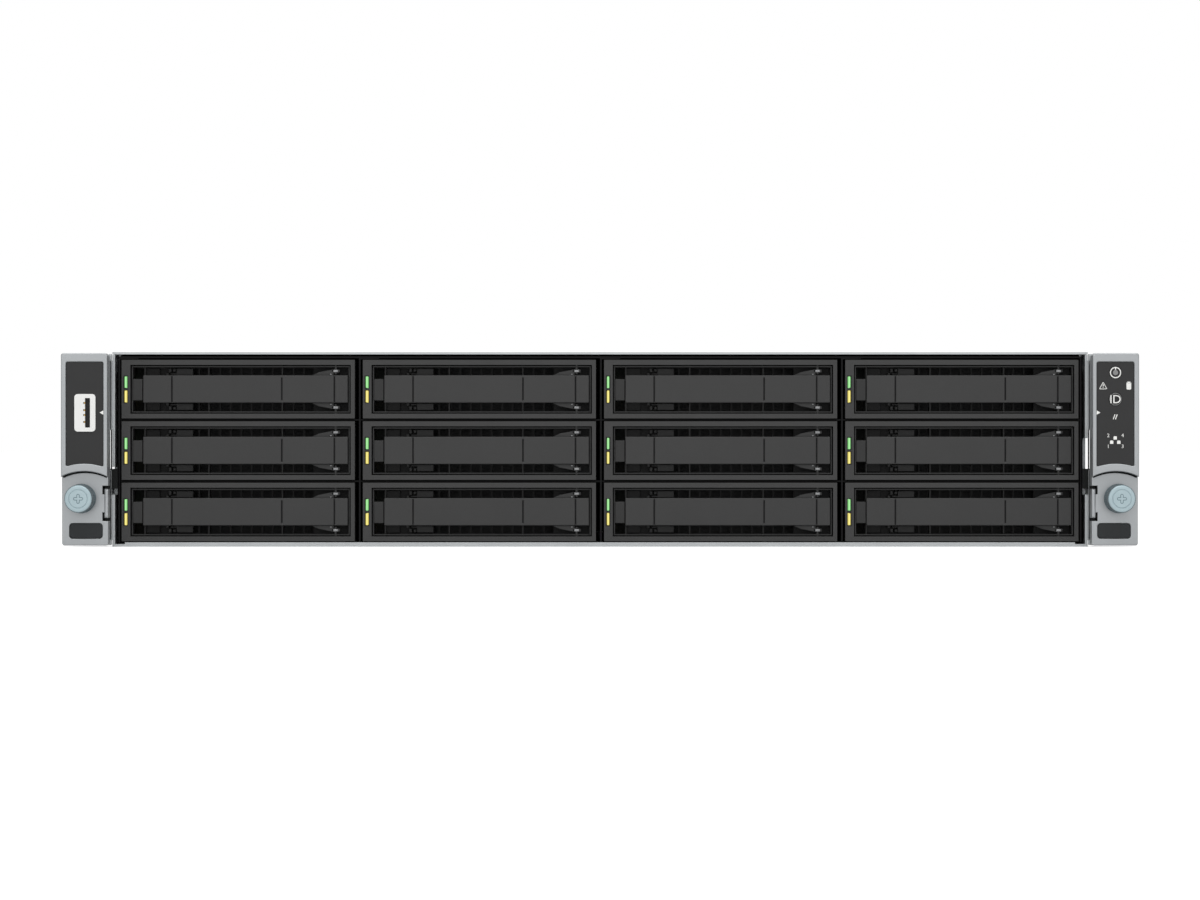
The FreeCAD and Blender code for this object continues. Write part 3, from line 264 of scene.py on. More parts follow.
# ------------------------------------------------------------ main circuit board
# Glass-fibre laminate under a green solder mask, with copper tracks that show
# through it, two extruded aluminium heat sinks and banks of memory modules.
green_mask = surfaced("solder_mask_on_laminate", "#12382A", "#1B4D38", 4, 0.9, 0.03, 0.4)
dress("drive_backplane", green_mask)
BOARD_THICK = 1.8
BOARD_REAR_GAP = 4
board_low, board_high = corners("mainboard")
board_top = board_low.z + BOARD_THICK
main_board = block(board_low, (board_high.x, chassis_high.y - BOARD_REAR_GAP, board_top), 0.2)
piece("mainboard_laminate", main_board, "chassis", green_mask, ["mainboard"])

SINK_LEFTS = (-96, 76)
SINK_WIDTH = 92
SINK_LENGTH = 108
SINK_HEIGHT = 62
SINK_BASE = 8
SINK_FROM_FRONT = 112
FIN_SHEET = 1.1
FIN_COUNT = 23
fin_pitch = (SINK_WIDTH - FIN_SHEET) / (FIN_COUNT - 1)
sink_front = board_low.y + SINK_FROM_FRONT
sinks = []
for left in SINK_LEFTS:
    low = Vector((left, sink_front, board_top))
    sinks.append(sized(low, (SINK_WIDTH, SINK_LENGTH, SINK_BASE), 0.3))
    for fin in range(FIN_COUNT):
        fin_low = low + Vector((fin * fin_pitch, 0, SINK_BASE / 2))
        sinks.append(sized(fin_low, (FIN_SHEET, SINK_LENGTH, SINK_HEIGHT - SINK_BASE / 2)))
bare_aluminium = surfaced("extruded_aluminium", "#B6B9BB", "#C8CACC", 20, 0.8, 0.01, 0.35, 1.0, (1, 0.1, 1))
piece("heat_sinks", sinks, "chassis", bare_aluminium)

MODULE_PITCH = 9
MODULE_SIZE = (1.4, 133.4, 31)
MODULES_IN_BANK = 4
CHIP_COUNT = 9
CHIP_PITCH = 14
CHIP_SIZE = (1, 9, 12)
modules = []
chips = []
for left in SINK_LEFTS:
    for bank in (left - MODULES_IN_BANK * MODULE_PITCH, left + SINK_WIDTH + 4):
        for number in range(MODULES_IN_BANK):
            low = Vector((bank + number * MODULE_PITCH, sink_front - 14, board_top))
            modules.append(sized(low, MODULE_SIZE, 0.15))
            for chip in range(CHIP_COUNT):
                start = low + Vector((MODULE_SIZE[0], 5 + chip * CHIP_PITCH, 12))
                chips.append(sized(start, CHIP_SIZE, 0.15))
black_epoxy = surfaced("epoxy_chip_package", "#141515", "#1C1D1D", 5, 0.5, 0.01, 0.5)
piece("memory_modules", modules, "chassis", green_mask)
piece("memory_chips", chips, "chassis", black_epoxy)

# -------------------------------------------------------------------- rear ports
# Plated steel shells stand in the rear wall: two stacked USB sockets, one blue
# display socket with two jack screws, and three network sockets ganged in a block.


def inside(centre, windows):
    """Whether a point of a plate lies in one of its windows."""
    for across, up in windows:
        if across[0] < centre.x < across[1] and up[0] < centre.z < up[1]:
            return True
    return False


def thickened(shape, depth):
    """Carry a flat shape back and close it."""
    grown = bmesh.ops.extrude_face_region(shape, geom=shape.faces[:])["geom"]
    return moved(shape, (0, depth, 0), [item for item in grown if isinstance(item, bmesh.types.BMVert)])


def place_of(element):
    """The middle of a corner, an edge or a face, to sort by from the top right down."""
    points = [element] if isinstance(element, bmesh.types.BMVert) else element.verts
    middle = sum((vert.co for vert in points), Vector()) / len(points)
    return [-round(middle[k], 3) for k in (2, 0, 1)]


def in_order(shape):
    """Put a shape's elements in the order of their places, the same in every run."""
    for elements in (shape.verts, shape.edges, shape.faces):
        for rank, element in enumerate(sorted(elements, key=place_of)):
            element.index = rank
        elements.sort()


def plate(across, up, deep, windows=(), edge=0.0, segments=2):
    """An upright plate that faces front, with rectangular windows right through."""
    shape = bmesh.new()
    bmesh.ops.create_grid(shape, x_segments=1, y_segments=1, size=0.5)
    spun(shape, pi / 2, "X")
    scaled(shape, (across[1] - across[0], 1, up[1] - up[0]))
    moved(shape, ((across[0] + across[1]) / 2, deep[0], (up[0] + up[1]) / 2))
    lines = {((x, 0, 0), (1, 0, 0)) for window in windows for x in window[0]}
    lines |= {((0, 0, z), (0, 0, 1)) for window in windows for z in window[1]}
    for point, normal in sorted(lines):
        everything = [*shape.verts, *shape.edges, *shape.faces]
        bmesh.ops.bisect_plane(shape, geom=everything, plane_co=point, plane_no=normal)
    holes = [face for face in shape.faces if inside(face.calc_center_median(), windows)]
    bmesh.ops.delete(shape, geom=holes, context="FACES")
    thickened(shape, deep[1] - deep[0])
    in_order(shape)
    bmesh.ops.dissolve_limit(shape, angle_limit=radians(1), verts=shape.verts, edges=shape.edges)
    bmesh.ops.recalc_face_normals(shape, faces=shape.faces)
    return rounded(shape, sharp_edges(shape), edge, segments) if edge else shape


PORTS_LOW = 10
PORT_DEPTH = 16
rear_face = chassis_high.y
port_front = rear_face - PORT_DEPTH
port_deep = (port_front, rear_face + 0.4)
port_shell = surfaced("nickel_plated_shell", "#A9A9A6", "#BDBDBA", 6, 0.6, 0.01, 0.3, 1.0)
# Black nylon of the sockets; the same black stands as painted shade in the display socket's holes and round
# the light pipes.
port_black_and_painted_shade = surfaced("nylon_insert_and_painted_shade", "#0C0C0C", "#111111", 5, 0.4, 0.01, 0.5, shine=0.3)
port_blue = surfaced("blue_port_insert", "#1D3F7C", "#26509A", 5, 0.4, 0.01, 0.45)
contact_gold = surfaced("gold_plated_contact", "#C79A3E", "#D9AE52", 2, 0.3, 0.005, 0.25, 1.0)

USB_ACROSS = (-26, -11)
USB_TOP = PORTS_LOW + 14.5
usb_openings = [((-25, -12), (PORTS_LOW + low, PORTS_LOW + low + 5.2)) for low in (1, 8.2)]
usb_shell = plate(USB_ACROSS, (board_top, USB_TOP), port_deep, usb_openings, 0.25)
usb_back = block((-25.5, port_front + 0.5, PORTS_LOW), (-11.5, port_front + 3, PORTS_LOW + 14))
usb_tongues = [
    block((left + 1.4, port_front + 2, high - 2.2), (right - 1.4, rear_face - 1, high - 0.5), 0.15)
    for (left, right), (_, high) in usb_openings
]
piece("rear_usb_shell", usb_shell, "chassis", port_shell)
piece("rear_usb_tongues", usb_tongues + [usb_back], "chassis", port_blue)

DISPLAY_LEFT = 2
DISPLAY_WIDTH = 31
DISPLAY_HEIGHT = 12.5
JACK_PROFILE = [(0, 0), (2.4, 0), (2.4, 0.3), (1.2, 0.3), (1.2, -4), (0, -4)]
PIN_HOLE_PROFILE = [(0, 0.93), (0.42, 0.93), (0.42, 0.4), (0, 0.4)]
display_middle = Vector((DISPLAY_LEFT + DISPLAY_WIDTH / 2, rear_face, PORTS_LOW + DISPLAY_HEIGHT / 2))
flange_high = (DISPLAY_LEFT + DISPLAY_WIDTH, rear_face + 0.4, PORTS_LOW + DISPLAY_HEIGHT)
flange = block((DISPLAY_LEFT, port_front, board_top), flange_high, 0.4)
jacks = [turned(JACK_PROFILE, 6, display_middle + Vector((x, 0.3, 0))) for x in (-12.5, 12.5)]
piece("display_port_flange", [flange] + jacks, "chassis", port_shell)
display_insert = block((-7.9, 0, -3.6), (7.9, 0.9, 3.6), 0.4)
scaled(display_insert, (0.88, 1, 1), [vert for vert in display_insert.verts if vert.co.z < -1])
piece("display_port_insert", display_insert, "chassis", port_blue, at=display_middle)
# The pin holes are dark discs standing on the insert: painted shade in the holes.
pin_holes = [
    turned(PIN_HOLE_PROFILE, 10, display_middle + Vector((x + shift, 0, z)))
    for z, shift in ((2, 0), (0, -1.1), (-2, 0))
    for x in (-4.6, -2.3, 0, 2.3, 4.6)
]
piece("display_port_holes", pin_holes, "chassis", port_black_and_painted_shade)

NETWORK_FIRST = 60
NETWORK_PITCH = 17
NETWORK_WIDTH = 16
NETWORK_TOP = PORTS_LOW + 13.5
NETWORK_WALL = 2.1
TAB_HALF = 3
PIN_PITCH = 1.02
network_lefts = [NETWORK_FIRST + number * NETWORK_PITCH for number in range(3)]
network_openings = []
contacts = []
link_lights = []
backs = []
for left in network_lefts:
    middle = left + NETWORK_WIDTH / 2
    opening = (left + NETWORK_WALL, left + NETWORK_WIDTH - NETWORK_WALL)
    network_openings.append((opening, (PORTS_LOW + 2, NETWORK_TOP - 3.4)))
    network_openings.append(((middle - TAB_HALF, middle + TAB_HALF), (PORTS_LOW + 1, NETWORK_TOP - 2)))
    back_high = (left + 15, port_front + 2.5, PORTS_LOW + 12)
    backs.append(block((left + 1, port_front + 0.3, PORTS_LOW), back_high))
    for number in range(8):
        x = middle - 3.6 + number * PIN_PITCH
        contact_high = (x + 0.5, rear_face - 4, PORTS_LOW + 8.7)
        contacts.append(block((x, port_front + 2, PORTS_LOW + 8.2), contact_high))
    for x in (left + 1, left + NETWORK_WIDTH - 3.4):
        light_high = (x + 2.4, rear_face + 0.45, PORTS_LOW + 12.6)
        link_lights.append(block((x, rear_face - 0.6, PORTS_LOW + 10.6), light_high, 0.25))
network_across = (NETWORK_FIRST, network_lefts[-1] + NETWORK_WIDTH)
network_block = plate(network_across, (board_top, NETWORK_TOP), port_deep, network_openings, 0.2)
amber_lens = surfaced("unlit_amber_lens", "#8D8350", "#A39A66", 3, 0.4, 0.01, 0.25)
piece("network_port_block", network_block, "chassis", port_shell, ["network_ports"])
piece("network_port_backs", backs, "chassis", port_black_and_painted_shade)
piece("network_port_contacts", contacts, "chassis", contact_gold)
piece("network_port_lights", link_lights, "chassis", amber_lens)

# ----------------------------------------------------------------- riser modules
# Two cages of plated sheet hold the add-in cards above the ports.  Their slots
# are closed by perforated covers, each held by one screw through its folded tab.
dress("riser_modules", zinc_steel)
RISER_LEFTS = (-30, 94)
RISER_WIDTH = 120
COVER_PITCH = 20
COVER_HEIGHT = 18
COVER_SHEET = 0.9
HOLES_ACROSS = 16
HOLE_PITCH = (6, 5.6)
HOLE_SIZE = (3.6, 4)
SCREW_FROM_RIGHT = 7.5
SCREW_RADIUS = 2.6
riser_bottom = corners("riser_modules")[0].z + 1
cover_face = rear_face - 1.2


def cross_screw(centre, radius):
    """A pan-head screw that faces the rear, and its cross recess."""
    profile = [(0, 0.9), (0.5 * radius, 0.85), (0.85 * radius, 0.55), (radius, 0), (0, 0)]
    long, short = 0.6 * radius, 0.14 * radius
    arms = [block((-x, 0.84, -z), (x, 0.95, z)) for x, z in ((long, short), (short, long))]
    return turned(profile, 20, centre), moved(together(arms), centre)


slot_covers = []
rear_screws = []
rear_recesses = []
for left in RISER_LEFTS:
    for number in range(3):
        low = riser_bottom + number * COVER_PITCH
        holes = []
        for column in range(HOLES_ACROSS):
            x = left + 13 + column * HOLE_PITCH[0]
            for row in range(2):
                z = low + 4 + row * HOLE_PITCH[1]
                holes.append(((x, x + HOLE_SIZE[0]), (z, z + HOLE_SIZE[1])))
        across = (left + 3, left + RISER_WIDTH - 3)
        deep = (cover_face + 0.02, cover_face + COVER_SHEET)
        slot_covers.append(plate(across, (low + 0.3, low + COVER_HEIGHT - 0.3), deep, holes, 0.15))
        place = (left + RISER_WIDTH - SCREW_FROM_RIGHT, cover_face + COVER_SHEET, low + COVER_HEIGHT / 2)
        head, recess = cross_screw(place, SCREW_RADIUS)
        rear_screws.append(head)
        rear_recesses.append(recess)
# The cross recess is drawn as dark bars on each head: painted shade in the recess.
recess_painted_shade = surfaced("screw_recess_painted_shade", "#1A1A1B", "#232324", 3, 0.4, 0.01, 0.5, 0.3)
piece("slot_covers", slot_covers, "chassis", zinc_steel)
piece("rear_screws", rear_screws, "chassis", rivet_steel)
piece("rear_screw_recesses", rear_recesses, "chassis", recess_painted_shade)

# ------------------------------------------------------------------------- fans
# Four axial fans in moulded glass-filled frames.  The rotors are one moulding
# each, a little glossier than their frames.
fan_black = surfaced("glass_filled_fan_frame", "#151516", "#1D1D1E", 12, 0.6, 0.03, 0.5)
rotor_black = surfaced("moulded_fan_rotor", "#101011", "#161617", 12, 0.9, 0.01, 0.35)
dress("fan_frames", fan_black)
for number in range(1, 5):
    dress(f"fan_rotor_{number}", rotor_black)

# ------------------------------------------------------------------- drive cage
# Sheets, dividers and shelves of steel with a black powder coat.  The coat is
# satin, and its orange peel is about 1 mm across.
black_coat = surfaced("black_powder_coat_on_steel", "#060607", "#0A0A0B", 15, 1.0, 0.02, 0.6, shine=0.15)
dress("drive_cage", black_coat)

# ---------------------------------------------------------- drive carrier trays
# Moulded ABS bezel with a deep well, a vent grille at its bottom and two thin
# rails round the drive.  The mould's spark-eroded skin makes it a matt dark grey.
BAYS = range(1, 13)
CARRIER_WIDTH = 105.1
CARRIER_HEIGHT = 26.4
BEZEL_DEPTH = 14
WELL = ((3.9, 103.3), (2.15, 24.15))
WELL_DEPTH = 9
LAMP_ACROSS = (1.05, 2.6)
GREEN_UP = (13.65, 19.1)
YELLOW_UP = (7.1, 12.75)
DRIVE_WIDTH = 101.6
DRIVE_LEFT = (CARRIER_WIDTH - DRIVE_WIDTH) / 2
bay_corners = {bay: corners(f"drive_carrier_{bay:02d}")[0] for bay in BAYS}


def in_every_bay(name, shapes, mover, finish, stands_for=""):
    """The same piece in each of the twelve bays, drawn from a carrier's lower left."""
    shape = together(shapes)
    for bay in BAYS:
        node = [f"{stands_for}_{bay:02d}"] if stands_for else []
        piece(f"{name}_{bay:02d}", shape.copy(), f"{mover}_{bay:02d}", finish, node, bay_corners[bay])
    shape.free()


carrier_plastic = surfaced("moulded_abs_carrier", "#333333", "#383838", 14, 0.6, 0.02, 0.6, shine=0.3)
lamp_windows = [(LAMP_ACROSS, GREEN_UP), (LAMP_ACROSS, YELLOW_UP)]
bezel = plate((0, CARRIER_WIDTH), (0, CARRIER_HEIGHT), (0, BEZEL_DEPTH), [WELL] + lamp_windows, 0.4)
rails = [
    block((left, BEZEL_DEPTH - 1, 1), (left + DRIVE_LEFT, 173, 21), 0.3)
    for left in (0, CARRIER_WIDTH - DRIVE_LEFT)
]
tray = [bezel] + rails
in_every_bay("carrier_tray", tray, "carrier", carrier_plastic, "drive_carrier")

# The grille is the same moulding, set back in the well, with twelve slots, open
# corners beside the latch and two flats.
FLAT_ACROSS = (9.9, 16.4)
GRILLE_SHEET = 2
SLOT_FIRST = 29.6
SLOT_WIDTH = 4.05
SLOT_PITCH = 4.75
SLOT_COUNT = 12
SLOT_UP = (3.4, 22.85)
CATCH_ACROSS = (4.9, 9.35)
CATCH_UP = (8.1, 17.8)
CATCH_GAP = 0.2
slot_lefts = [SLOT_FIRST + k * SLOT_PITCH for k in range(SLOT_COUNT)]
grille_windows = [((left, left + SLOT_WIDTH), SLOT_UP) for left in slot_lefts]
grille_windows.append((CATCH_ACROSS, (3.05, CATCH_UP[0] - CATCH_GAP)))
grille_windows.append((CATCH_ACROSS, (CATCH_UP[1] + CATCH_GAP, 22.9)))
grille = plate(*WELL, (WELL_DEPTH, WELL_DEPTH + GRILLE_SHEET), grille_windows, 0.15, 1)
flats = [
    block((FLAT_ACROSS[0], 7.4, low), (FLAT_ACROSS[1], WELL_DEPTH + 0.2, high), 0.2)
    for low, high in ((WELL[1][0] + 1.4, 7.8), (18.6, WELL[1][1] - 1.4))
]
# Grille and flats are the bezel's plastic in a far darker grey: painted shade for the depth of the well.
grille_painted_shade = surfaced("moulded_abs_grille_painted_shade", "#171717", "#1C1C1C", 10, 0.6, 0.02, 0.6, shine=0.3)
in_every_bay("vent_grille", [grille] + flats, "carrier", grille_painted_shade)

# A thin lip runs round the well, and three tall ribs cross it.
LIP_GAP = 0.5
LIP_WIDTH = 0.5
LIP_FRONT = 1.6
TALL_RIBS = (9.5, 38.4, 71.65)
RIB_SHEET = 0.7
RIB_FRONT = 5.5


def grown(window, by):
    """A rectangle with each of its sides moved outward."""
    return [(low - by, high + by) for low, high in window]


lip_outline = grown(WELL, -LIP_GAP)
lip = plate(*lip_outline, (LIP_FRONT, WELL_DEPTH), [grown(lip_outline, -LIP_WIDTH)], 0.1, 1)
tall_ribs = [
    block((left, RIB_FRONT, WELL[1][0]), (left + RIB_SHEET, WELL_DEPTH, WELL[1][1]), 0.12)
    for left in TALL_RIBS
]
# Lip, ribs and clips are the bezel's plastic in a darker grey: painted shade inside the well.
well_rib_painted_shade = surfaced("moulded_abs_rib_painted_shade", "#2A2A2A", "#303030", 10, 0.6, 0.02, 0.6, shine=0.3)
in_every_bay("well_lip_and_ribs", [lip] + tall_ribs, "carrier", well_rib_painted_shade)

# A tab, three teeth and a clip stand above the lever and again below it: left,
# right, front, the nearest and farthest height from the lever's middle, rounding.
CLIP_PARTS = (
    (24.1, 31.6, RIB_FRONT, 6.4, 9.4, 0.2),
    (19.4, 20.7, RIB_FRONT - 0.6, 5.9, 7.4, 0.3),
    (20.6, 21.9, RIB_FRONT - 0.6, 7.6, 9.5, 0.3),
    (22.6, 23.9, RIB_FRONT - 0.6, 7.9, 9.3, 0.3),
    (21.5, 24.3, RIB_FRONT, 6.6, 7.2, 0.15),
)
carrier_middle = CARRIER_HEIGHT / 2
clips = []
for sign in (1, -1):
    for left, right, front, near, far, edge in CLIP_PARTS:
        low, high = sorted((carrier_middle + sign * near, carrier_middle + sign * far))
        clips.append(block((left, front, low), (right, WELL_DEPTH, high), edge))
in_every_bay("detent_clips", clips, "carrier", well_rib_painted_shade)

# ------------------------------------------------------------------ light pipes
# Two clear acrylic pipes end in the bezel's left edge, lit green and yellow from
# the board behind.  The light is strongest along the middle of each pipe.
CORE_EDGE = (0.0002, 0.0008)


def lit_acrylic(name, edge_colour, core_colour):
    """Acrylic lit from behind, brightest along a line up the middle of each pipe."""
    material, shader = new_material(name)
    shader.inputs["Roughness"].default_value = 0.25
    shader.inputs["Base Color"].default_value = linear("#202520")
    place = add(material, "TexCoord", {})
    parts = add(material, "SeparateXYZ", {0: place.outputs["Object"]})
    bay = (bay_corners[2].x - bay_corners[1].x) / 1000
    first = (bay_corners[1].x + (LAMP_ACROSS[0] + LAMP_ACROSS[1]) / 2) / 1000
    shifted = add(material, "Math", {0: parts.outputs[0], 1: first - bay / 2}, operation="SUBTRACT")
    wrapped = add(material, "Math", {0: shifted.outputs[0], 1: bay}, operation="FLOORED_MODULO")
    off_middle = add(material, "Math", {0: wrapped.outputs[0], 1: bay / 2}, operation="SUBTRACT")
    away = add(material, "Math", {0: off_middle.outputs[0]}, operation="ABSOLUTE")
    bounds = {0: away.outputs[0], 1: CORE_EDGE[0], 2: CORE_EDGE[1], 3: 1.0, 4: 0.0}
    tint = blend(material, add(material, "MapRange", bounds).outputs[0], edge_colour, core_colour)
    material.node_tree.links.new(tint, shader.inputs["Emission Color"])
    shader.inputs["Emission Strength"].default_value = 0.95
    return material


LAMP_SUNK = 0.35
LAMP_GAP = (0.25, 0.18)
SHADE_RING_BORDER = 0.3
for name, up, edge_colour, core_colour in (
    ("green_light_pipe", GREEN_UP, "#3DA83A", "#A8F0A0"),
    ("yellow_light_pipe", YELLOW_UP, "#C9A93A", "#FFF38A"),
):
    low = (LAMP_ACROSS[0] + LAMP_GAP[0], LAMP_SUNK, up[0] + LAMP_GAP[1])
    high = (LAMP_ACROSS[1] - LAMP_GAP[0], BEZEL_DEPTH, up[1] - LAMP_GAP[1])
    finish = lit_acrylic(name + "_acrylic", edge_colour, core_colour)
    in_every_bay(name, block(low, high, 0.3, 3), "carrier", finish)
    # A black ring round each pipe's window is painted shade of the slot round the pipe.
    opening = (LAMP_ACROSS, up)
    shade_ring = plate(*grown(opening, SHADE_RING_BORDER), (-0.04, 0.5), [opening])
    rounded(shade_ring, filter(runs_back, shade_ring.edges), 0.55, 4)
    in_every_bay(name + "_seal", shade_ring, "carrier", port_black_and_painted_shade)

# ------------------------------------------------------------------ hard drives
# 3.5-inch drive in each carrier: a die-cast base coloured near black as painted shade
# behind the grille, with a stamped steel lid on top, held by the rails' screws.
DRIVE_FRONT = 22
DRIVE_LENGTH = 147
LID_BORDER = 1.5
LID_TOP = 25.7
STAMPING = [(0, -0.55), (43, -0.55), (44.2, 0), (0, 0)]
drive_right = DRIVE_LEFT + DRIVE_WIDTH
drive_rear = DRIVE_FRONT + DRIVE_LENGTH
cast_base = block((DRIVE_LEFT, DRIVE_FRONT, 0.2), (drive_right, drive_rear, 24.6), 0.6)
drive_painted_shade_black = surfaced("drive_casting_painted_shade_black", "#0B0B0C", "#101011", 10, 0.8, 0.04, 0.6)
in_every_bay("drive_base", cast_base, "carrier", drive_painted_shade_black)
lid_low = (DRIVE_LEFT + LID_BORDER, DRIVE_FRONT + LID_BORDER, 24.4)
lid = block(lid_low, (drive_right - LID_BORDER, drive_rear - LID_BORDER, LID_TOP), 0.5)
stamped = moved(spun(turned(STAMPING, 48), -pi / 2, "X"), (CARRIER_WIDTH / 2, DRIVE_FRONT + 60, LID_TOP))
lid_steel = surfaced("stamped_drive_lid", "#A5A7A8", "#B6B8B9", 12, 0.8, 0.01, 0.3, 1.0, (1, 0.15, 1))
in_every_bay("drive_lid", [lid, stamped], "carrier", lid_steel)

# --------------------------------------------------------------- carrier levers
# Flat cam lever across the well, with a bevelled rim, three seams and two thin
# arms whose eyes turn on steel pins.  Same grey plastic, moulded a little smoother.
LEVER_ACROSS = (9.6, 102.0)
LEVER_UP = (7.1, 19.45)
LEVER_FRONT = 0.3
LEVER_BACK = 3.3
SEAMS = ((22.6, 0.0), (72.2, 0.7), (95.9, 0.0))
SEAM_HALF = 0.225
SEAM_DEPTH = 0.8
ARM_LEFT = 85.8
ARM_FRONT = LEVER_FRONT + 1.5
ARM_UP = (6.1, 9.0)
EYE = (94.5, 98.3)
HINGE = (96.4, 2.6)
face_back = LEVER_FRONT + SEAM_DEPTH
back_low = (LEVER_ACROSS[0], face_back - 0.2, LEVER_UP[0])
lever_shapes = [block(back_low, (LEVER_ACROSS[1], LEVER_BACK, LEVER_UP[1]), 0.2)]
face_lefts = [LEVER_ACROSS[0]] + [seam + SEAM_HALF for seam, _ in SEAMS]
face_rights = [seam - SEAM_HALF for seam, _ in SEAMS] + [LEVER_ACROSS[1]]
for left, right in zip(face_lefts, face_rights):
    lever_shapes.append(block((left, LEVER_FRONT, LEVER_UP[0]), (right, face_back, LEVER_UP[1]), 0.45, 3))
middle_seam = SEAMS[1][0]
for low in (LEVER_UP[0], LEVER_UP[1] - 1.0):
    bridge_high = (middle_seam + 0.6, face_back, low + 1.0)
    lever_shapes.append(block((middle_seam - 0.6, LEVER_FRONT + 0.02, low), bridge_high, 0.12))
near, far = ARM_UP
for sign in (1, -1):
    arm = block((ARM_LEFT, ARM_FRONT, near), (EYE[0] + 1, LEVER_BACK, far), 0.25)
    outer = [vert for vert in arm.verts if vert.co.x < ARM_LEFT + 1 and vert.co.z > near + 1]
    moved(arm, (2.6, 0, -1.3), outer)
    eye = block((EYE[0], ARM_FRONT, far - 1.5), (EYE[1], LEVER_FRONT + 4.2, far), 0.3)
    lever_shapes += [moved(scaled(shape, (1, 1, sign)), (0, 0, carrier_middle)) for shape in (arm, eye)]
lever_shapes.append(block((100.0, 3.1, LEVER_UP[0] + 1), (102.0, 4.8, LEVER_UP[1] - 1), 0.3))
lever_plastic = surfaced("moulded_abs_lever", "#303030", "#343434", 18, 0.5, 0.01, 0.55, shine=0.3)
in_every_bay("cam_lever", lever_shapes, "lever", lever_plastic, "carrier_lever")
# Black strips behind the seams are painted shade in the gaps between the lever's faces.
seam_shade_strips = []
for seam, short in SEAMS:
    strip_low = (seam - SEAM_HALF, face_back - 0.35, LEVER_UP[0] + 0.5 + short)
    seam_shade_strips.append(block(strip_low, (seam + SEAM_HALF, face_back, LEVER_UP[1] - 0.5 - short)))
in_every_bay("lever_seam_painted_shade", seam_shade_strips, "lever", black_coat)

PIN_RADIUS = 0.75
pins = []
for low, high in ((WELL[1][0], 6.4), (20.0, WELL[1][1])):
    pin = turned([(0, low), (PIN_RADIUS, low), (PIN_RADIUS, high), (0, high)], 16)
    pins.append(moved(spun(pin, pi / 2, "X"), (*HINGE, 0)))
pin_steel = surfaced("blackened_hinge_pin", "#2A2A2A", "#343434", 3, 0.4, 0.005, 0.4, 0.6)
in_every_bay("hinge_pins", pins, "carrier", pin_steel)

# Each eye is lined with a pale bush, and beside it a small pale dot is a painted highlight.
BUSH = (2.3, 1.3)
HIGHLIGHT_DOT = 0.55
bushes_and_dots = []
for bush_height, dot_height in ((21.4, 19.9), (4.9, 6.4)):
    low = (HINGE[0] - BUSH[0] / 2, ARM_FRONT - 0.25, bush_height - BUSH[1] / 2)
    high = (HINGE[0] + BUSH[0] / 2, ARM_FRONT + 0.5, bush_height + BUSH[1] / 2)
    bushes_and_dots.append(block(low, high, 0.35, 3))
    low = (EYE[0] - 0.6, ARM_FRONT - 0.2, dot_height - HIGHLIGHT_DOT / 2)
    high = (EYE[0] + 0.1, ARM_FRONT + 0.5, dot_height + HIGHLIGHT_DOT / 2)
    bushes_and_dots.append(block(low, high, 0.12))
bush_steel_and_painted_highlight = surfaced("hinge_bush_and_painted_highlight", "#7A7B7C", "#8C8D8E", 3, 0.4, 0.005, 0.35, 0.7)
in_every_bay("hinge_bushes_and_highlight_dots", bushes_and_dots, "lever", bush_steel_and_painted_highlight)

# -------------------------------------------------------------- release latches
# Sprung button at the lever's free end, on a stem that reaches through the grille.
# Moulded in the darkest of the three greys.
latch = block((CATCH_ACROSS[0], 0.9, CATCH_UP[0]), (CATCH_ACROSS[1], 6.2, CATCH_UP[1]), 0.3)
stem = block((5.95, 6.0, 10), (8.3, 13.4, 16), 0.2)
latch_plastic = surfaced("moulded_abs_latch", "#252525", "#292929", 18, 0.5, 0.01, 0.55, shine=0.3)
in_every_bay("release_latch", [latch, stem], "latch", latch_plastic, "carrier_latch")

# --------------------------------------------------------------- power supplies
# Two plug-in supplies in bare sheet cases.  Each shows a black inlet with three
# blades, a fan behind a wire guard, a round status light and a handle in a sleeve.
case_steel = surfaced("bare_sheet_supply_case", "#9EA0A1", "#B0B2B3", 24, 1.0, 0.02, 0.4, 0.9, (1, 0.12, 1))
handle_black = surfaced("dipped_handle_sleeve", "#161616", "#1E1E1E", 8, 0.6, 0.02, 0.5)
SUPPLY_FACE = 702.5
INLET_AT = (8, 10.5)
INLET_SIZE = (27, 19)
INLET_DEPTH = 15
BLADES = ((-7, -2.2), (7, -2.2), (0, 2.6))
FAN_AT = (54, 20)
GUARD_RINGS = (5, 8.6, 12.2, 15.8)
GUARD_SPOKES = 4
FAN_BLADES = 7
BLADE_TILT = 9
GUARD_CAP = [(0, 1.2), (3, 1.2), (3.4, 0.2), (0, 0.2)]
FAN_HUB = [(0, -0.4), (7.4, -0.4), (7.4, -2.3), (0, -2.3)]
LIGHT_PROFILE = [(0, 0.5), (1.2, 0.4), (1.5, 0), (1.5, -1), (0, -1)]
face = chassis_low.y + SUPPLY_FACE
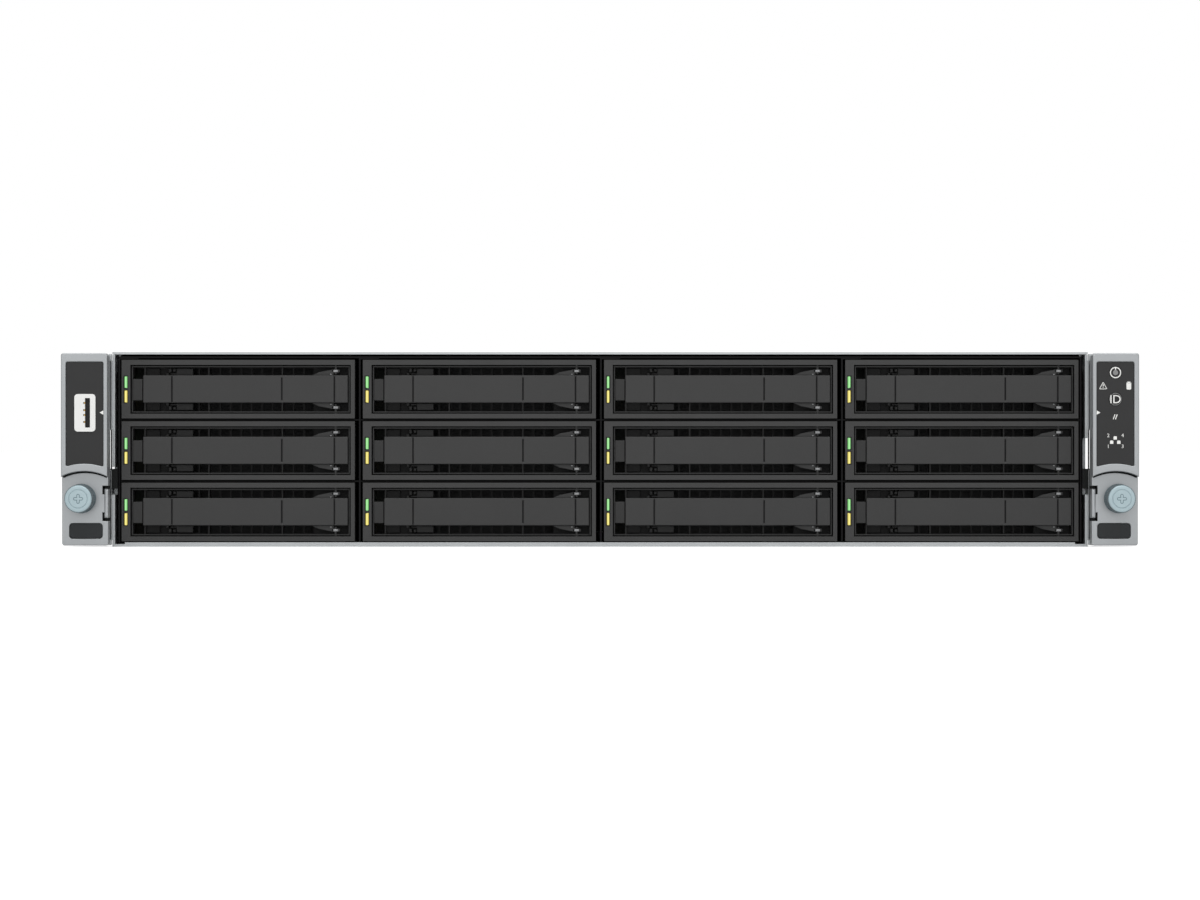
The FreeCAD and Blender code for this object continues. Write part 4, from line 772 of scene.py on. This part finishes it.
for number in (1, 2):
    name = f"power_supply_{number}"
    dress(name, case_steel)
    low, high = corners(name)
    inlet_low = Vector((low.x + INLET_AT[0], face - INLET_DEPTH, low.z + INLET_AT[1]))
    inlet = [(inlet_low[k], inlet_low[k] + size) for k, size in zip((0, 2), INLET_SIZE)]
    rim = plate(*grown(inlet, 2), (face, face + 1.2), [grown(inlet, -1)], 0.35)
    piece(f"{name}_inlet_rim", rim, name, port_black_and_painted_shade)
    lining = plate(*grown(inlet, -0.1), (face - INLET_DEPTH + 0.2, face), [grown(inlet, -1)])
    floor_high = inlet_low + Vector((INLET_SIZE[0] - 0.2, 0.8, INLET_SIZE[1] - 0.2))
    inlet_floor = block(inlet_low + Vector((0.2, 0.05, 0.2)), floor_high)
    piece(f"{name}_inlet_lining", [lining, inlet_floor], name, port_black_and_painted_shade)
    blades = []
    for x, z in BLADES:
        middle = inlet_low + Vector((INLET_SIZE[0] / 2 + x, 0, INLET_SIZE[1] / 2 + z))
        blades.append(block(middle + Vector((-1, 0.5, -2)), middle + Vector((1, 10.5, 2)), 0.3))
    piece(f"{name}_inlet_blades", blades, name, port_shell)

    fan_middle = Vector((low.x + FAN_AT[0], face, low.z + FAN_AT[1]))
    guard = []
    for r in GUARD_RINGS:
        wire = [(r - 0.5, 0), (r, -0.5), (r + 0.5, 0), (r, 0.5), (r - 0.5, 0)]
        guard.append(turned(wire, 40, fan_middle + Vector((0, 0.6, 0))))
    for turn in range(GUARD_SPOKES):
        spoke = block((2, 0.1, -0.5), (17.2, 1.1, 0.5), 0.25)
        guard.append(moved(spun(spoke, turn * pi / 2 + pi / 4, "Y"), fan_middle))
    guard.append(turned(GUARD_CAP, 24, fan_middle))
    piece(f"{name}_fan_guard", guard, name, port_shell)
    fan = [turned(FAN_HUB, 24, fan_middle)]
    for turn in range(FAN_BLADES):
        blade = block((6, -1.9, -3.4), (14.6, -1.3, 3.4), 0.2)
        spun(blade, radians(BLADE_TILT), "X", (0, -1.5, 0))
        fan.append(moved(spun(blade, turn * 2 * pi / FAN_BLADES, "Y"), fan_middle))
    piece(f"{name}_fan", fan, name, rotor_black)
    light = turned(LIGHT_PROFILE, 20, (low.x + 39, face, low.z + 33))
    piece(f"{name}_status_light", light, name, amber_lens)
    grip_low = Vector((high.x - 7, high.y - 4, low.z + 5))
    sleeve = block(grip_low + Vector((-0.6, -0.25, 4.2)), grip_low + Vector((4.6, 4.05, 25.8)), 0.5, 3)
    piece(f"{name}_handle_sleeve", sleeve, name, handle_black)

# ----------------------------------------------------------------------- covers
# Top covers of the same plated sheet: the front one is screwed down, the rear one
# slides under it and is locked by a black lever in a sunk well.
dress("front_cover", zinc_steel)
dress("rear_cover", zinc_steel)
latch_black = surfaced("moulded_latch_lever", "#1B1C1D", "#242526", 14, 0.7, 0.03, 0.45)
dress("cover_latch", latch_black)

# ------------------------------------------------------------------------- ears
# Die-cast ear covers on folded brackets, painted silver grey.  The upper part
# stands forward as a soft rim round the dark panel and ends in an arch round the
# thumbscrew; the lower part is flat, with a sprung hook at its inner edge.
EAR_INNER = 220.5
EAR_OUTER = 241.3
EAR_TOP = 87
EAR_STEP_BACK = 3.5
EAR_CORNER = 1.1
ARCH_MIDDLE = 230.9
ARCH_CENTRE = 10.7
ARCH_RADIUS = 23.4
ARCH_STEPS = 16
PANEL_ACROSS = (222.3, 239.1)
PANEL_TOP = 83.2
PANEL_BORDER = 3.4
PANEL_SUNK = 0.4
PANEL_CORNER = 0.9
INSERT = ((223.1, 238.0), (3.9, 10.8))
HOOK_SLOTS = ((11.8, 13.2), (26.2, 27.6))
HOOK_REACH = EAR_INNER + 2.6
HOOK_END = (0.9, 2.4)
EDGE_ROUND = 1.25
RECESS_ROUND = 0.45
FLANGE_SHEET = 2
ear_low = corners("right_ear")[0]
ear_front = ear_low.y
ear_step = ear_front + EAR_STEP_BACK
rack_plane = ear_front + 12
flange_front = rack_plane - FLANGE_SHEET


def loop(shape, places, depth):
    """A closed line through places of an upright plane."""
    points = [shape.verts.new((x, depth, z)) for x, z in places]
    return [shape.edges.new(pair) for pair in zip(points, points[1:] + points[:1])]


def arched(across, top, radius):
    """The places of an upright outline whose lower end is an arch."""
    places = [(across[0], top)]
    for step in range(ARCH_STEPS + 1):
        x = across[0] + (across[1] - across[0]) * step / ARCH_STEPS
        places.append((x, ARCH_CENTRE + (radius**2 - (x - ARCH_MIDDLE) ** 2) ** 0.5))
    return places + [(across[1], top)]


def front_edges(shape, depth):
    """The sharp edges that lie in an upright plane."""
    edges = sharp_edges(shape)
    return [edge for edge in edges if all(abs(vert.co.y - depth) < 0.01 for vert in edge.verts)]


def deepened(shape, edges, depth):
    """Carry an outline of the ear's front back and close its rear end."""
    made = bmesh.ops.extrude_edge_only(shape, edges=edges)["geom"]
    far_points = [item for item in made if isinstance(item, bmesh.types.BMVert)]
    moved(shape, (0, depth, 0), far_points)
    rear = [item for item in made if isinstance(item, bmesh.types.BMEdge)]
    rear = [edge for edge in rear if all(vert in far_points for vert in edge.verts)]
    bmesh.ops.edgeloop_fill(shape, edges=rear)


def on_outline(edge):
    """Whether a front edge belongs to the ear's own outline, not to the recess."""
    centre = sum((vert.co for vert in edge.verts), Vector()) / 2
    if centre.x < EAR_INNER + 1.2 or centre.x > EAR_OUTER - 1.2 or centre.z > EAR_TOP - 1.2:
        return True
    reach = ((centre.x - ARCH_MIDDLE) ** 2 + (centre.z - ARCH_CENTRE) ** 2) ** 0.5
    return reach < ARCH_RADIUS + 0.5


def ear_rim():
    """The raised upper part of the right ear, a soft rim round the panel's recess."""
    shape = bmesh.new()
    outer = loop(shape, arched((EAR_INNER, EAR_OUTER), EAR_TOP, ARCH_RADIUS), ear_front)
    inner = loop(shape, arched(PANEL_ACROSS, PANEL_TOP, ARCH_RADIUS + PANEL_BORDER), ear_front)
    bmesh.ops.bridge_loops(shape, edges=outer + inner)
    deepened(shape, outer, EAR_STEP_BACK)
    deepened(shape, inner, PANEL_SUNK + 1.2)
    bmesh.ops.recalc_face_normals(shape, faces=shape.faces)
    ends = [edge for edge in shape.edges if runs_back(edge) and edge.calc_face_angle(0) > radians(40)]
    recess = [edge for edge in ends if PANEL_ACROSS[0] - 0.1 < edge.verts[0].co.x < PANEL_ACROSS[1] + 0.1]
    rounded(shape, [edge for edge in ends if edge.verts[0].co.z > EAR_TOP - 0.01], EAR_CORNER, 4)
    rounded(shape, recess, PANEL_CORNER, 4)
    rounded(shape, filter(on_outline, front_edges(shape, ear_front)), EDGE_ROUND, 4)
    return rounded(shape, front_edges(shape, ear_front), RECESS_ROUND, 3)


def hook_windows():
    """The hook's slots, each with a short upright end."""
    low, high = HOOK_SLOTS
    upright = (HOOK_REACH - HOOK_END[0], HOOK_REACH)
    windows = [((EAR_INNER - 1, HOOK_REACH), up) for up in HOOK_SLOTS]
    return windows + [(upright, (high[0] - HOOK_END[1], high[1])), (upright, (low[0], low[1] + HOOK_END[1]))]


def ear_lower():
    """The flat plate of the right ear, with the hook's slots and the insert's seat."""
    windows = [INSERT] + hook_windows()
    lower = plate((EAR_INNER, EAR_OUTER), (ear_low.z, EAR_TOP - 0.4), (ear_step, flange_front), windows)
    sides = [(edge, edge.verts[0].co) for edge in lower.edges if runs_back(edge)]
    outer = [edge for edge, at in sides if at.z < 1.5 or at.z > 80]
    seat = [edge for edge, at in sides if 3 < at.z < 11.5 and 223 < at.x < 238.1]
    rounded(lower, outer, EAR_CORNER, 4)
    rounded(lower, seat, 1.5, 5)
    return rounded(lower, front_edges(lower, ear_step), 0.35, 3)


def hook_tab():
    """The sprung hook between its two slots, its front edge rolled."""
    low, high = HOOK_SLOTS[0][1] + 0.2, HOOK_SLOTS[1][0] - 0.2
    return block((EAR_INNER - 0.1, ear_step - 0.6, low), (EAR_INNER + 1.7, ear_step + 4, high), 0.55, 3)


NOTCH_UP = (26.3, 35.2)
SIGHT_UP = (34.7, 52.7)
ARCH_SHADOW_SIZE = (1.0, 0.9)
ARCH_SHADOW_HALF_TURN = 0.44


def painted_shade_blocks():
    """Dark blocks behind the hook's slots, and in the notch between ear and tray: painted shade."""
    shade_blocks = [
        block((max(left, EAR_INNER), ear_step + 1, low), (right, flange_front, high))
        for (left, right), (low, high) in hook_windows()
    ]
    pad_front, pad_rear = flange_front + 0.1, rack_plane + 0.5
    shade_blocks.append(block((217.4, pad_front, NOTCH_UP[0]), (221.3, pad_rear, NOTCH_UP[1])))
    shade_blocks.append(block((220.0, pad_front, NOTCH_UP[1]), (220.3, pad_rear, SIGHT_UP[1])))
    return shade_blocks


def arch_painted_shadow():
    """A dark strip under the arch of the raised part: painted shadow of the step."""
    shape = bmesh.new()
    bmesh.ops.create_grid(shape, x_segments=1, y_segments=1, size=0.5)
    scaled(shape, (*ARCH_SHADOW_SIZE, 1))
    moved(shape, (ARCH_RADIUS - ARCH_SHADOW_SIZE[0] / 2 + 0.2, ear_step - 0.35, 0))
    spun(shape, -pi / 2 + ARCH_SHADOW_HALF_TURN, "Y")
    bmesh.ops.spin(
        shape,
        geom=[*shape.verts, *shape.edges, *shape.faces],
        cent=(0, 0, 0),
        axis=(0, -1, 0),
        angle=2 * ARCH_SHADOW_HALF_TURN,
        steps=20,
    )
    return moved(shape, (ARCH_MIDDLE, 0, ARCH_CENTRE))


def ear_bracket():
    """The folded steel bracket behind the right ear, with its sight slot."""
    across = (220.0, EAR_OUTER - 0.1)
    up = (ear_low.z + 0.1, EAR_TOP - 0.1)
    flange = plate(across, up, (flange_front, rack_plane), [((219.0, 223.1), SIGHT_UP)], 0.2)
    sight = ((rack_plane - 3, rack_plane + 22), SIGHT_UP)
    side_plate = plate((flange_front, rack_plane + 62), (3, 84), (0, 1.5), [sight], 0.2)
    return [flange, moved(spun(side_plate, pi / 2, "Z"), (221.5, 0, 0))]


def on_side(shapes, side):
    """Shapes drawn for the right ear as one, as it is or mirrored to the left."""
    return scaled(together(shapes), (side, 1, 1))


paint_silver = surfaced("silver_paint_on_casting", "#999C9E", "#A3A6A8", 20, 0.25, 0.004, 0.34, 0.6)
# A near-black finish for painted shade in the ear's slots, its notch and under its arch.
gap_painted_shade_black = surfaced("ear_gap_painted_shade", "#121313", "#191A1A", 3, 0.4, 0.03, 0.9, shine=0.2)
SIDES = ((1, "right"), (-1, "left"))
for side, label in SIDES:
    cover = on_side([ear_rim(), ear_lower(), hook_tab()], side)
    piece(f"{label}_ear_cover", cover, "chassis", paint_silver, [f"{label}_ear"])
    piece(f"{label}_ear_bracket", on_side(ear_bracket(), side), "chassis", zinc_steel)
    painted_shades = on_side([arch_painted_shadow()] + painted_shade_blocks(), side)
    piece(f"{label}_ear_seals", painted_shades, "chassis", gap_painted_shade_black)

# ----------------------------------------------------------- panels and inserts
# Smooth dark polycarbonate panels snapped into the ears, each with a small pale
# pointer at its inner edge, and a rounded insert below each thumbscrew.
panel_plastic = surfaced("polycarbonate_panel", "#232323", "#272728", 12, 0.5, 0.004, 0.45, shine=0.3)
insert_plastic = surfaced("polycarbonate_insert", "#1C1F21", "#212426", 12, 0.5, 0.004, 0.45, shine=0.3)
white_ink = surfaced("white_screen_ink", "#D9D9D6", "#E4E4E1", 3, 0.3, 0.004, 0.6)
SOCKET_WINDOW = ((226.6, 52.7), (234.4, 52.7), (234.4, 67.9), (226.6, 67.9))
BUTTON_MIDDLE = 230.7
POWER_HEIGHT, POWER_RADIUS = 78.3, 2.6
IDENTIFY_HEIGHT, IDENTIFY_RADIUS = 66.4, 2.8
BUTTON_GAP = 0.15
HOLE_SIDES = 40
FIT_GAP = 0.12
PANEL_SHEET = 1.1
POINTER_RADIUS = 1.1
POINTER_HEIGHT = 60.4
panel_front = ear_front + PANEL_SUNK


def ear_panel(openings):
    """The right ear's panel, with the openings that its socket or its buttons need."""
    shape = bmesh.new()
    across = (PANEL_ACROSS[0] + FIT_GAP, PANEL_ACROSS[1] - FIT_GAP)
    outline = arched(across, PANEL_TOP - FIT_GAP, ARCH_RADIUS + PANEL_BORDER + FIT_GAP)
    lines = [edge for places in (outline, *openings) for edge in loop(shape, places, panel_front)]
    corner_places = {(round(x, 3), round(z, 3)) for places in openings for x, z in places}
    bmesh.ops.triangle_fill(shape, edges=lines, use_beauty=True, normal=(0, -1, 0))
    thickened(shape, PANEL_SHEET)
    bmesh.ops.recalc_face_normals(shape, faces=shape.faces)
    ends = [edge for edge in shape.edges if runs_back(edge) and edge.calc_face_angle(0) > radians(40)]
    ends = [(edge, edge.verts[0].co) for edge in ends]
    ends = [edge for edge, at in ends if (round(at.x, 3), round(at.z, 3)) not in corner_places]
    rounded(shape, ends, PANEL_CORNER - FIT_GAP, 4)
    return rounded(shape, front_edges(shape, panel_front), 0.25, 2)


def ear_insert():
    """The right ear's rounded insert."""
    (left, right), (low, high) = grown(INSERT, -FIT_GAP)
    front = ear_step + 0.25
    shape = block((left, front, low), (right, ear_step + 3, high))
    rounded(shape, filter(runs_back, shape.edges), 1.4, 5)
    return rounded(shape, front_edges(shape, front), 0.25, 2)


def pointer():
    """A small triangular mark at the panel's inner edge."""
    shape = bmesh.new()
    bmesh.ops.create_circle(shape, cap_ends=True, segments=3, radius=POINTER_RADIUS)
    spun(spun(shape, -pi / 2, "Z"), pi / 2, "X")
    return moved(thickened(shape, 0.5), (PANEL_ACROSS[0] + 0.55, panel_front - 0.2, POINTER_HEIGHT))


def button_hole(height, radius):
    """The places of a round opening for a button."""
    angles = [k * 2 * pi / HOLE_SIDES for k in range(HOLE_SIDES)]
    reach = radius + BUTTON_GAP
    return [(BUTTON_MIDDLE + reach * cos(angle), height + reach * sin(angle)) for angle in angles]


button_holes = [button_hole(POWER_HEIGHT, POWER_RADIUS), button_hole(IDENTIFY_HEIGHT, IDENTIFY_RADIUS)]
panel_openings = {"left": [SOCKET_WINDOW], "right": button_holes}
for side, label in SIDES:
    panel = on_side(ear_panel(panel_openings[label]), side)
    insert = on_side(ear_insert(), side)
    piece(f"{label}_ear_panel", panel, "chassis", panel_plastic, ["ear_panels"])
    piece(f"{label}_ear_insert", insert, "chassis", insert_plastic, ["ear_panels"])
    piece(f"{label}_ear_pointer", on_side(pointer(), side), "chassis", white_ink)

# ------------------------------------------------------------- front USB socket
# A white moulded shroud with round corners, and in its slot a black tongue that
# carries four contacts.
SHROUD = ((225.8, 235.2), (51.9, 68.7))
SHROUD_OUT = 0.55
SLOT_ACROSS = (228.2, 230.5)
SLOT_HEIGHTS = (53.7, 66.9)
NOTCH_HEIGHTS = (56.2, 59.3, 61.5, 64.7)
NOTCH_END = SLOT_ACROSS[1] + 0.75
shroud_white = surfaced("white_moulded_nylon", "#D6D6D4", "#DFDFDD", 6, 0.4, 0.01, 0.45)
windows = [(SLOT_ACROSS, SLOT_HEIGHTS)]
windows += [((SLOT_ACROSS[1] - 0.05, NOTCH_END), (z - 0.4, z + 0.4)) for z in NOTCH_HEIGHTS]
shroud = plate(*SHROUD, (panel_front - SHROUD_OUT, flange_front), windows)
sides = [(edge, edge.verts[0].co.x) for edge in shroud.edges if runs_back(edge)]
rounded(shroud, [edge for edge, x in sides if not SHROUD[0][0] + 0.1 <= x <= SHROUD[0][1] - 0.1], 1.5, 5)
tongue_low = (SLOT_ACROSS[0], panel_front + 0.9, SLOT_HEIGHTS[0])
tongue = block(tongue_low, (NOTCH_END, flange_front - 0.5, SLOT_HEIGHTS[1]))
usb_contacts = []
for z in NOTCH_HEIGHTS:
    contact_low = (SLOT_ACROSS[1] + 0.1, panel_front + 0.8, z - 0.25)
    usb_contacts.append(block(contact_low, (SLOT_ACROSS[1] + 0.5, panel_front + 1, z + 0.25)))
piece("front_usb_shroud", on_side(shroud, -1), "chassis", shroud_white, ["usb_port"])
piece("front_usb_tongue", on_side(tongue, -1), "chassis", port_black_and_painted_shade)
piece("front_usb_contacts", on_side(usb_contacts, -1), "chassis", contact_gold)

# ------------------------------------------------------------ buttons and signs
# Two push buttons in the right panel, and signs screened on it in white: power,
# warning, drive, a numbered group of network lights.
INK = 0.08
CAP_HEIGHT_OF_FONT = 0.7
button_front = corners("power_button")[0].y
ink_on_button = button_front - INK
ink_on_panel = panel_front - INK


def letters(text, height, middle, front):
    """Flat characters standing on a plane that faces front, centred on a point."""
    curve = bpy.data.curves.new("letters", "FONT")
    curve.body = text
    curve.size = height / CAP_HEIGHT_OF_FONT
    curve.extrude = INK / 2
    curve.resolution_u = 3
    made = bpy.data.objects.new("letters", curve)
    mesh = bpy.data.meshes.new_from_object(made)
    shape = bmesh.new()
    shape.from_mesh(mesh)
    bpy.data.objects.remove(made)
    bpy.data.curves.remove(curve)
    bpy.data.meshes.remove(mesh)
    bmesh.ops.remove_doubles(shape, verts=shape.verts, dist=0.0005)
    spun(shape, pi / 2, "X")
    spans = [(min(v.co[k] for v in shape.verts), max(v.co[k] for v in shape.verts)) for k in (0, 2)]
    return moved(shape, (middle[0] - sum(spans[0]) / 2, front, middle[1] - sum(spans[1]) / 2))


def ring(middle, front, inner, outer, sides=40):
    """A printed ring."""
    profile = [(inner, 0), (outer, 0), (outer, INK), (inner, INK), (inner, 0)]
    return turned(profile, sides, (middle[0], front, middle[1]))


def stroke(start, end, width, front):
    """A printed stroke between two points of the panel."""
    start, end = Vector((start[0], 0, start[1])), Vector((end[0], 0, end[1]))
    along = end - start
    shape = block((0, 0, -width / 2), (along.length, INK, width / 2))
    spun(shape, Vector((1, 0)).angle_signed(Vector((along.x, along.z))), "Y")
    return moved(shape, (start.x, front, start.z))


power_middle = (BUTTON_MIDDLE, POWER_HEIGHT)
identify_middle = (BUTTON_MIDDLE, IDENTIFY_HEIGHT)
button_plastic = surfaced("polycarbonate_button", "#1C1C1D", "#202021", 6, 0.4, 0.004, 0.45, shine=0.3)
grey_ink = surfaced("grey_screen_ink", "#757575", "#808080", 3, 0.3, 0.004, 0.6)
for name, height, radius in (
    ("power_button", POWER_HEIGHT, POWER_RADIUS),
    ("id_button", IDENTIFY_HEIGHT, IDENTIFY_RADIUS),
):
    profile = [(0, 0), (radius - 0.3, 0), (radius, 0.3), (radius, 3.4), (0, 3.4)]
    cap = turned(profile, 40, (BUTTON_MIDDLE, button_front, height))
    piece(f"{name}_cap", cap, name, button_plastic, [name])
bar_ends = [(BUTTON_MIDDLE, POWER_HEIGHT + rise) for rise in (1.2, 2.55)]
power_sign = [ring(power_middle, ink_on_button, 2.05, 2.5), stroke(*bar_ends, 0.45, ink_on_button - 0.02)]
piece("power_sign", power_sign, "power_button", white_ink)
power_lens = ring(power_middle, ink_on_button, 0.0001, 1.15)
piece("power_lens", power_lens, "power_button", grey_ink)
piece("id_sign", letters("ID", 3.7, identify_middle, ink_on_button), "id_button", white_ink)
id_ring = ring(identify_middle, ink_on_button, 2.5, 2.72)
piece("id_ring", id_ring, "id_button", grey_ink)


def strokes(places, ends, width):
    """Printed strokes on the panel, each from one place to another of a list."""
    return [stroke(places[start], places[end], width, ink_on_panel) for start, end in ends]


def around(middle, offsets):
    """Points of the panel at offsets from a middle."""
    return [(middle[0] + x, middle[1] + z) for x, z in offsets]


# The warning triangle with its mark, then two short strokes for the fans.
TRIANGLE = (225.2, 72.5)
TWO_STROKES = (230.6, 58.5)
triangle = around(TRIANGLE, [(-1.65, -1.5), (1.65, -1.5), (0, 1.5)])
mark = around(TRIANGLE, [(0, -0.35), (0, 0.6), (0, -1.0), (0, -0.65)])
two = around(TWO_STROKES, [(-0.9, -1.1), (-0.1, 1.1), (0.1, -1.1), (0.9, 1.1)])
signs = strokes(triangle, ((0, 1), (1, 2), (2, 0)), 0.26) + strokes(mark, ((0, 1), (2, 3)), 0.35)
signs += strokes(two, ((0, 1), (2, 3)), 0.38)

# The drive's cylinder, its lid drawn as a flattened ring.
CYLINDER = (236.7, 72.5)
LID_RISE = 1.35
lid_middle = (CYLINDER[0], CYLINDER[1] + LID_RISE)
cylinder = block((-1.05, 0, -1.8), (1.05, INK, 1.4))
rounded(cylinder, filter(runs_back, cylinder.edges), 0.5, 4)
signs.append(moved(cylinder, (CYLINDER[0], ink_on_panel, CYLINDER[1])))


def flat_ring(lift, inner, outer):
    """A ring round the lid's middle, pressed to half its height."""
    shape = ring((lid_middle[0], 0), ink_on_panel - lift, inner, outer, 24)
    return moved(scaled(shape, (1, 1, 0.5)), (0, 0, lid_middle[1]))


signs.append(flat_ring(0.01, 0.0001, 0.95))

# Three joined sockets with the numbers of their lights.
NETWORK_SIGN = (230.6, 48.0)
DIGIT_HEIGHT = 1.6
DIGITS = (("2", (-3.1, 2.2)), ("4", (3.3, 2.2)), ("1", (-3.1, -2.7)), ("3", (3.3, -2.7)))
for x, z in around(NETWORK_SIGN, [(0, 1.1), (-1.6, -0.8), (1.6, -0.8)]):
    shape = block((x - 0.75, ink_on_panel, z - 0.8), (x + 0.75, panel_front, z + 0.7))
    top = [edge for edge in shape.edges if runs_back(edge) and edge.verts[0].co.z > z]
    signs.append(rounded(shape, top, 0.35, 2))
for text, offset in DIGITS:
    signs.append(letters(text, DIGIT_HEIGHT, around(NETWORK_SIGN, [offset])[0], ink_on_panel))
piece("panel_signs", signs, "chassis", white_ink)
piece("drive_sign_line", flat_ring(0.03, 0.62, 0.8), "chassis", grey_ink)

# ------------------------------------------------------------------ thumbscrews
# Captive screws turned from bar and plated pale blue: a knob with a knurled flank
# and a wider collar, a face with one faint ring, and a cross recess.
KNOB_RADIUS = 6.3
KNOB_LENGTH = 10.3
KNURL_TEETH = 48
KNURL_DEPTH = 0.22
KNURL_START = 0.4
COLLAR_RADIUS = 6.6
COLLAR_LENGTH = 1.1
MARK_LIFT = 0.05
FACE = [(0, 0), (3.9, 0), (4.0, 0.25), (4.25, 0.25), (4.35, 0), (5.5, 0), (5.85, 0.12), (6.0, 0.5), (0, 0.5)]
NECK = [(0, 10.0), (2.5, 10.0), (2.5, 19), (3, 19), (3, 31), (0, 31)]
pale_blue = surfaced("pale_blue_plating", "#98AAB0", "#A4B6BB", 6, 0.5, 0.01, 0.4, 0.2)
# Flank and collar take the plating in a far darker tone: painted shade on the sideways flank and in its
# knurling.
knurl_painted_shade_blue = surfaced("knurled_plating_painted_shade", "#566368", "#626F74", 5, 0.4, 0.03, 0.5, 0.3)
recess_blue = surfaced("shaded_blue_recess", "#64767C", "#6E8086", 4, 0.4, 0.01, 0.6, 0.2)


def knurled_knob(middle):
    """The knob's flank: an upright toothed ring of ridges, and the collar behind it."""
    shape = bmesh.new()
    bmesh.ops.create_circle(shape, cap_ends=True, segments=2 * KNURL_TEETH, radius=KNOB_RADIUS)
    valleys = [vert for vert in shape.verts if vert.index % 2]
    scaled(shape, [(KNOB_RADIUS - KNURL_DEPTH) / KNOB_RADIUS] * 3, valleys)
    thickened(spun(shape, pi / 2, "X"), KNOB_LENGTH - COLLAR_LENGTH - KNURL_START)
    moved(shape, middle + Vector((0, KNURL_START, 0)))
    profile = [(0, 0), (COLLAR_RADIUS - 0.2, 0), (COLLAR_RADIUS, 0.2), (COLLAR_RADIUS, COLLAR_LENGTH)]
    profile.append((0, COLLAR_LENGTH))
    return [shape, turned(profile, 64, middle + Vector((0, KNOB_LENGTH - COLLAR_LENGTH, 0)))]


def cross_mark(middle, length, width, lift):
    """A cross of two bars on the knob's face, one a hair deeper than the other."""
    bars = []
    for across, up, deeper in ((length / 2, width / 2, 0), (width / 2, length / 2, 0.004)):
        low = middle - Vector((across, lift - deeper, up))
        bar = block(low, middle + Vector((across, 0.2, up)))
        bars.append(rounded(bar, filter(runs_back, bar.edges), 0.45 * width, 3))
    return bars


for label in ("left", "right"):
    name = f"{label}_thumbscrew"
    low, high = corners(name)
    middle = Vector(((low.x + high.x) / 2, low.y + MARK_LIFT, (low.z + high.z) / 2))
    turned_parts = [turned(FACE, 64, middle), turned(NECK, 32, middle)]
    piece(f"{name}_face", turned_parts, name, pale_blue, [name])
    piece(f"{name}_flank", knurled_knob(middle), name, knurl_painted_shade_blue, [name])
    piece(f"{name}_recess", cross_mark(middle, 4.4, 1.5, 0.02), name, recess_blue)
    piece(f"{name}_recess_floor", cross_mark(middle, 3.7, 0.8, 0.04), name, pale_blue)

# ----------------------------------------------------------------------- studio
# A pale floor and a white surround, a large soft lamp above and in front, and the
# camera straight before the ears at half the server's height.
scene = bpy.context.scene
scene.view_settings.view_transform = "Standard"
FLOOR_HALF = 40.0
FLOOR_LIFT = 0.55
floor_shape = bmesh.new()
bmesh.ops.create_grid(floor_shape, x_segments=1, y_segments=1, size=FLOOR_HALF)
floor_mesh = bpy.data.meshes.new("studio_floor")
floor_shape.to_mesh(floor_mesh)
floor_shape.free()
floor = bpy.data.objects.new("studio_floor", floor_mesh)
scene.collection.objects.link(floor)
pale, paint = new_material("pale_floor_paint")
paint.inputs["Base Color"].default_value = linear("#E4E4E4")
paint.inputs["Roughness"].default_value = 0.9
paint.inputs["Emission Color"].default_value = linear("#FFFFFF")
seen = add(pale, "LightPath", {})
lift = add(pale, "Math", {0: seen.outputs["Is Camera Ray"], 1: FLOOR_LIFT}, operation="MULTIPLY")
pale.node_tree.links.new(lift.outputs[0], paint.inputs["Emission Strength"])
floor_mesh.materials.append(pale)

WORLD_LEVEL = 0.6
world = bpy.data.worlds.new("white_surround")
scene.world = world
world.use_nodes = True
rays = add(world, "LightPath", {})
straight = {0: rays.outputs["Is Camera Ray"], 1: rays.outputs["Is Transmission Ray"]}
shown = add(world, "Math", straight, operation="MAXIMUM")
level = add(world, "MapRange", {0: shown.outputs[0], 3: WORLD_LEVEL, 4: 1.0})
surround = world.node_tree.nodes["Background"]
surround.inputs["Color"].default_value = linear("#FFFFFF")
world.node_tree.links.new(level.outputs[0], surround.inputs["Strength"])


def soft_lamp(name, place, size, watts):
    """A square soft box that faces the middle of the server's front."""
    lamp = bpy.data.lights.new(name, "AREA")
    lamp.size = size
    lamp.energy = watts
    made = bpy.data.objects.new(name, lamp)
    made.location = place
    target = Vector((0, ear_front / 1000, 0.044))
    made.rotation_euler = (target - Vector(place)).to_track_quat("-Z", "Y").to_euler()
    scene.collection.objects.link(made)


soft_lamp("overhead_soft_box", (0, -0.9, 1.7), 1.8, 26)
soft_lamp("front_soft_box", (0, -2.6, 0.8), 2.1, 14.5)

CAMERA_AWAY = 1590
CAMERA_HEIGHT = 43.65
lens = bpy.data.cameras.new("front_camera")
lens.lens = 106.6
lens.sensor_width = 36
lens.clip_start = 0.05
camera = bpy.data.objects.new("front_camera", lens)
camera.location = (0, (ear_front - CAMERA_AWAY) / 1000, CAMERA_HEIGHT / 1000)
camera.rotation_euler = (pi / 2, 0, 0)
scene.collection.objects.link(camera)
scene.camera = camera
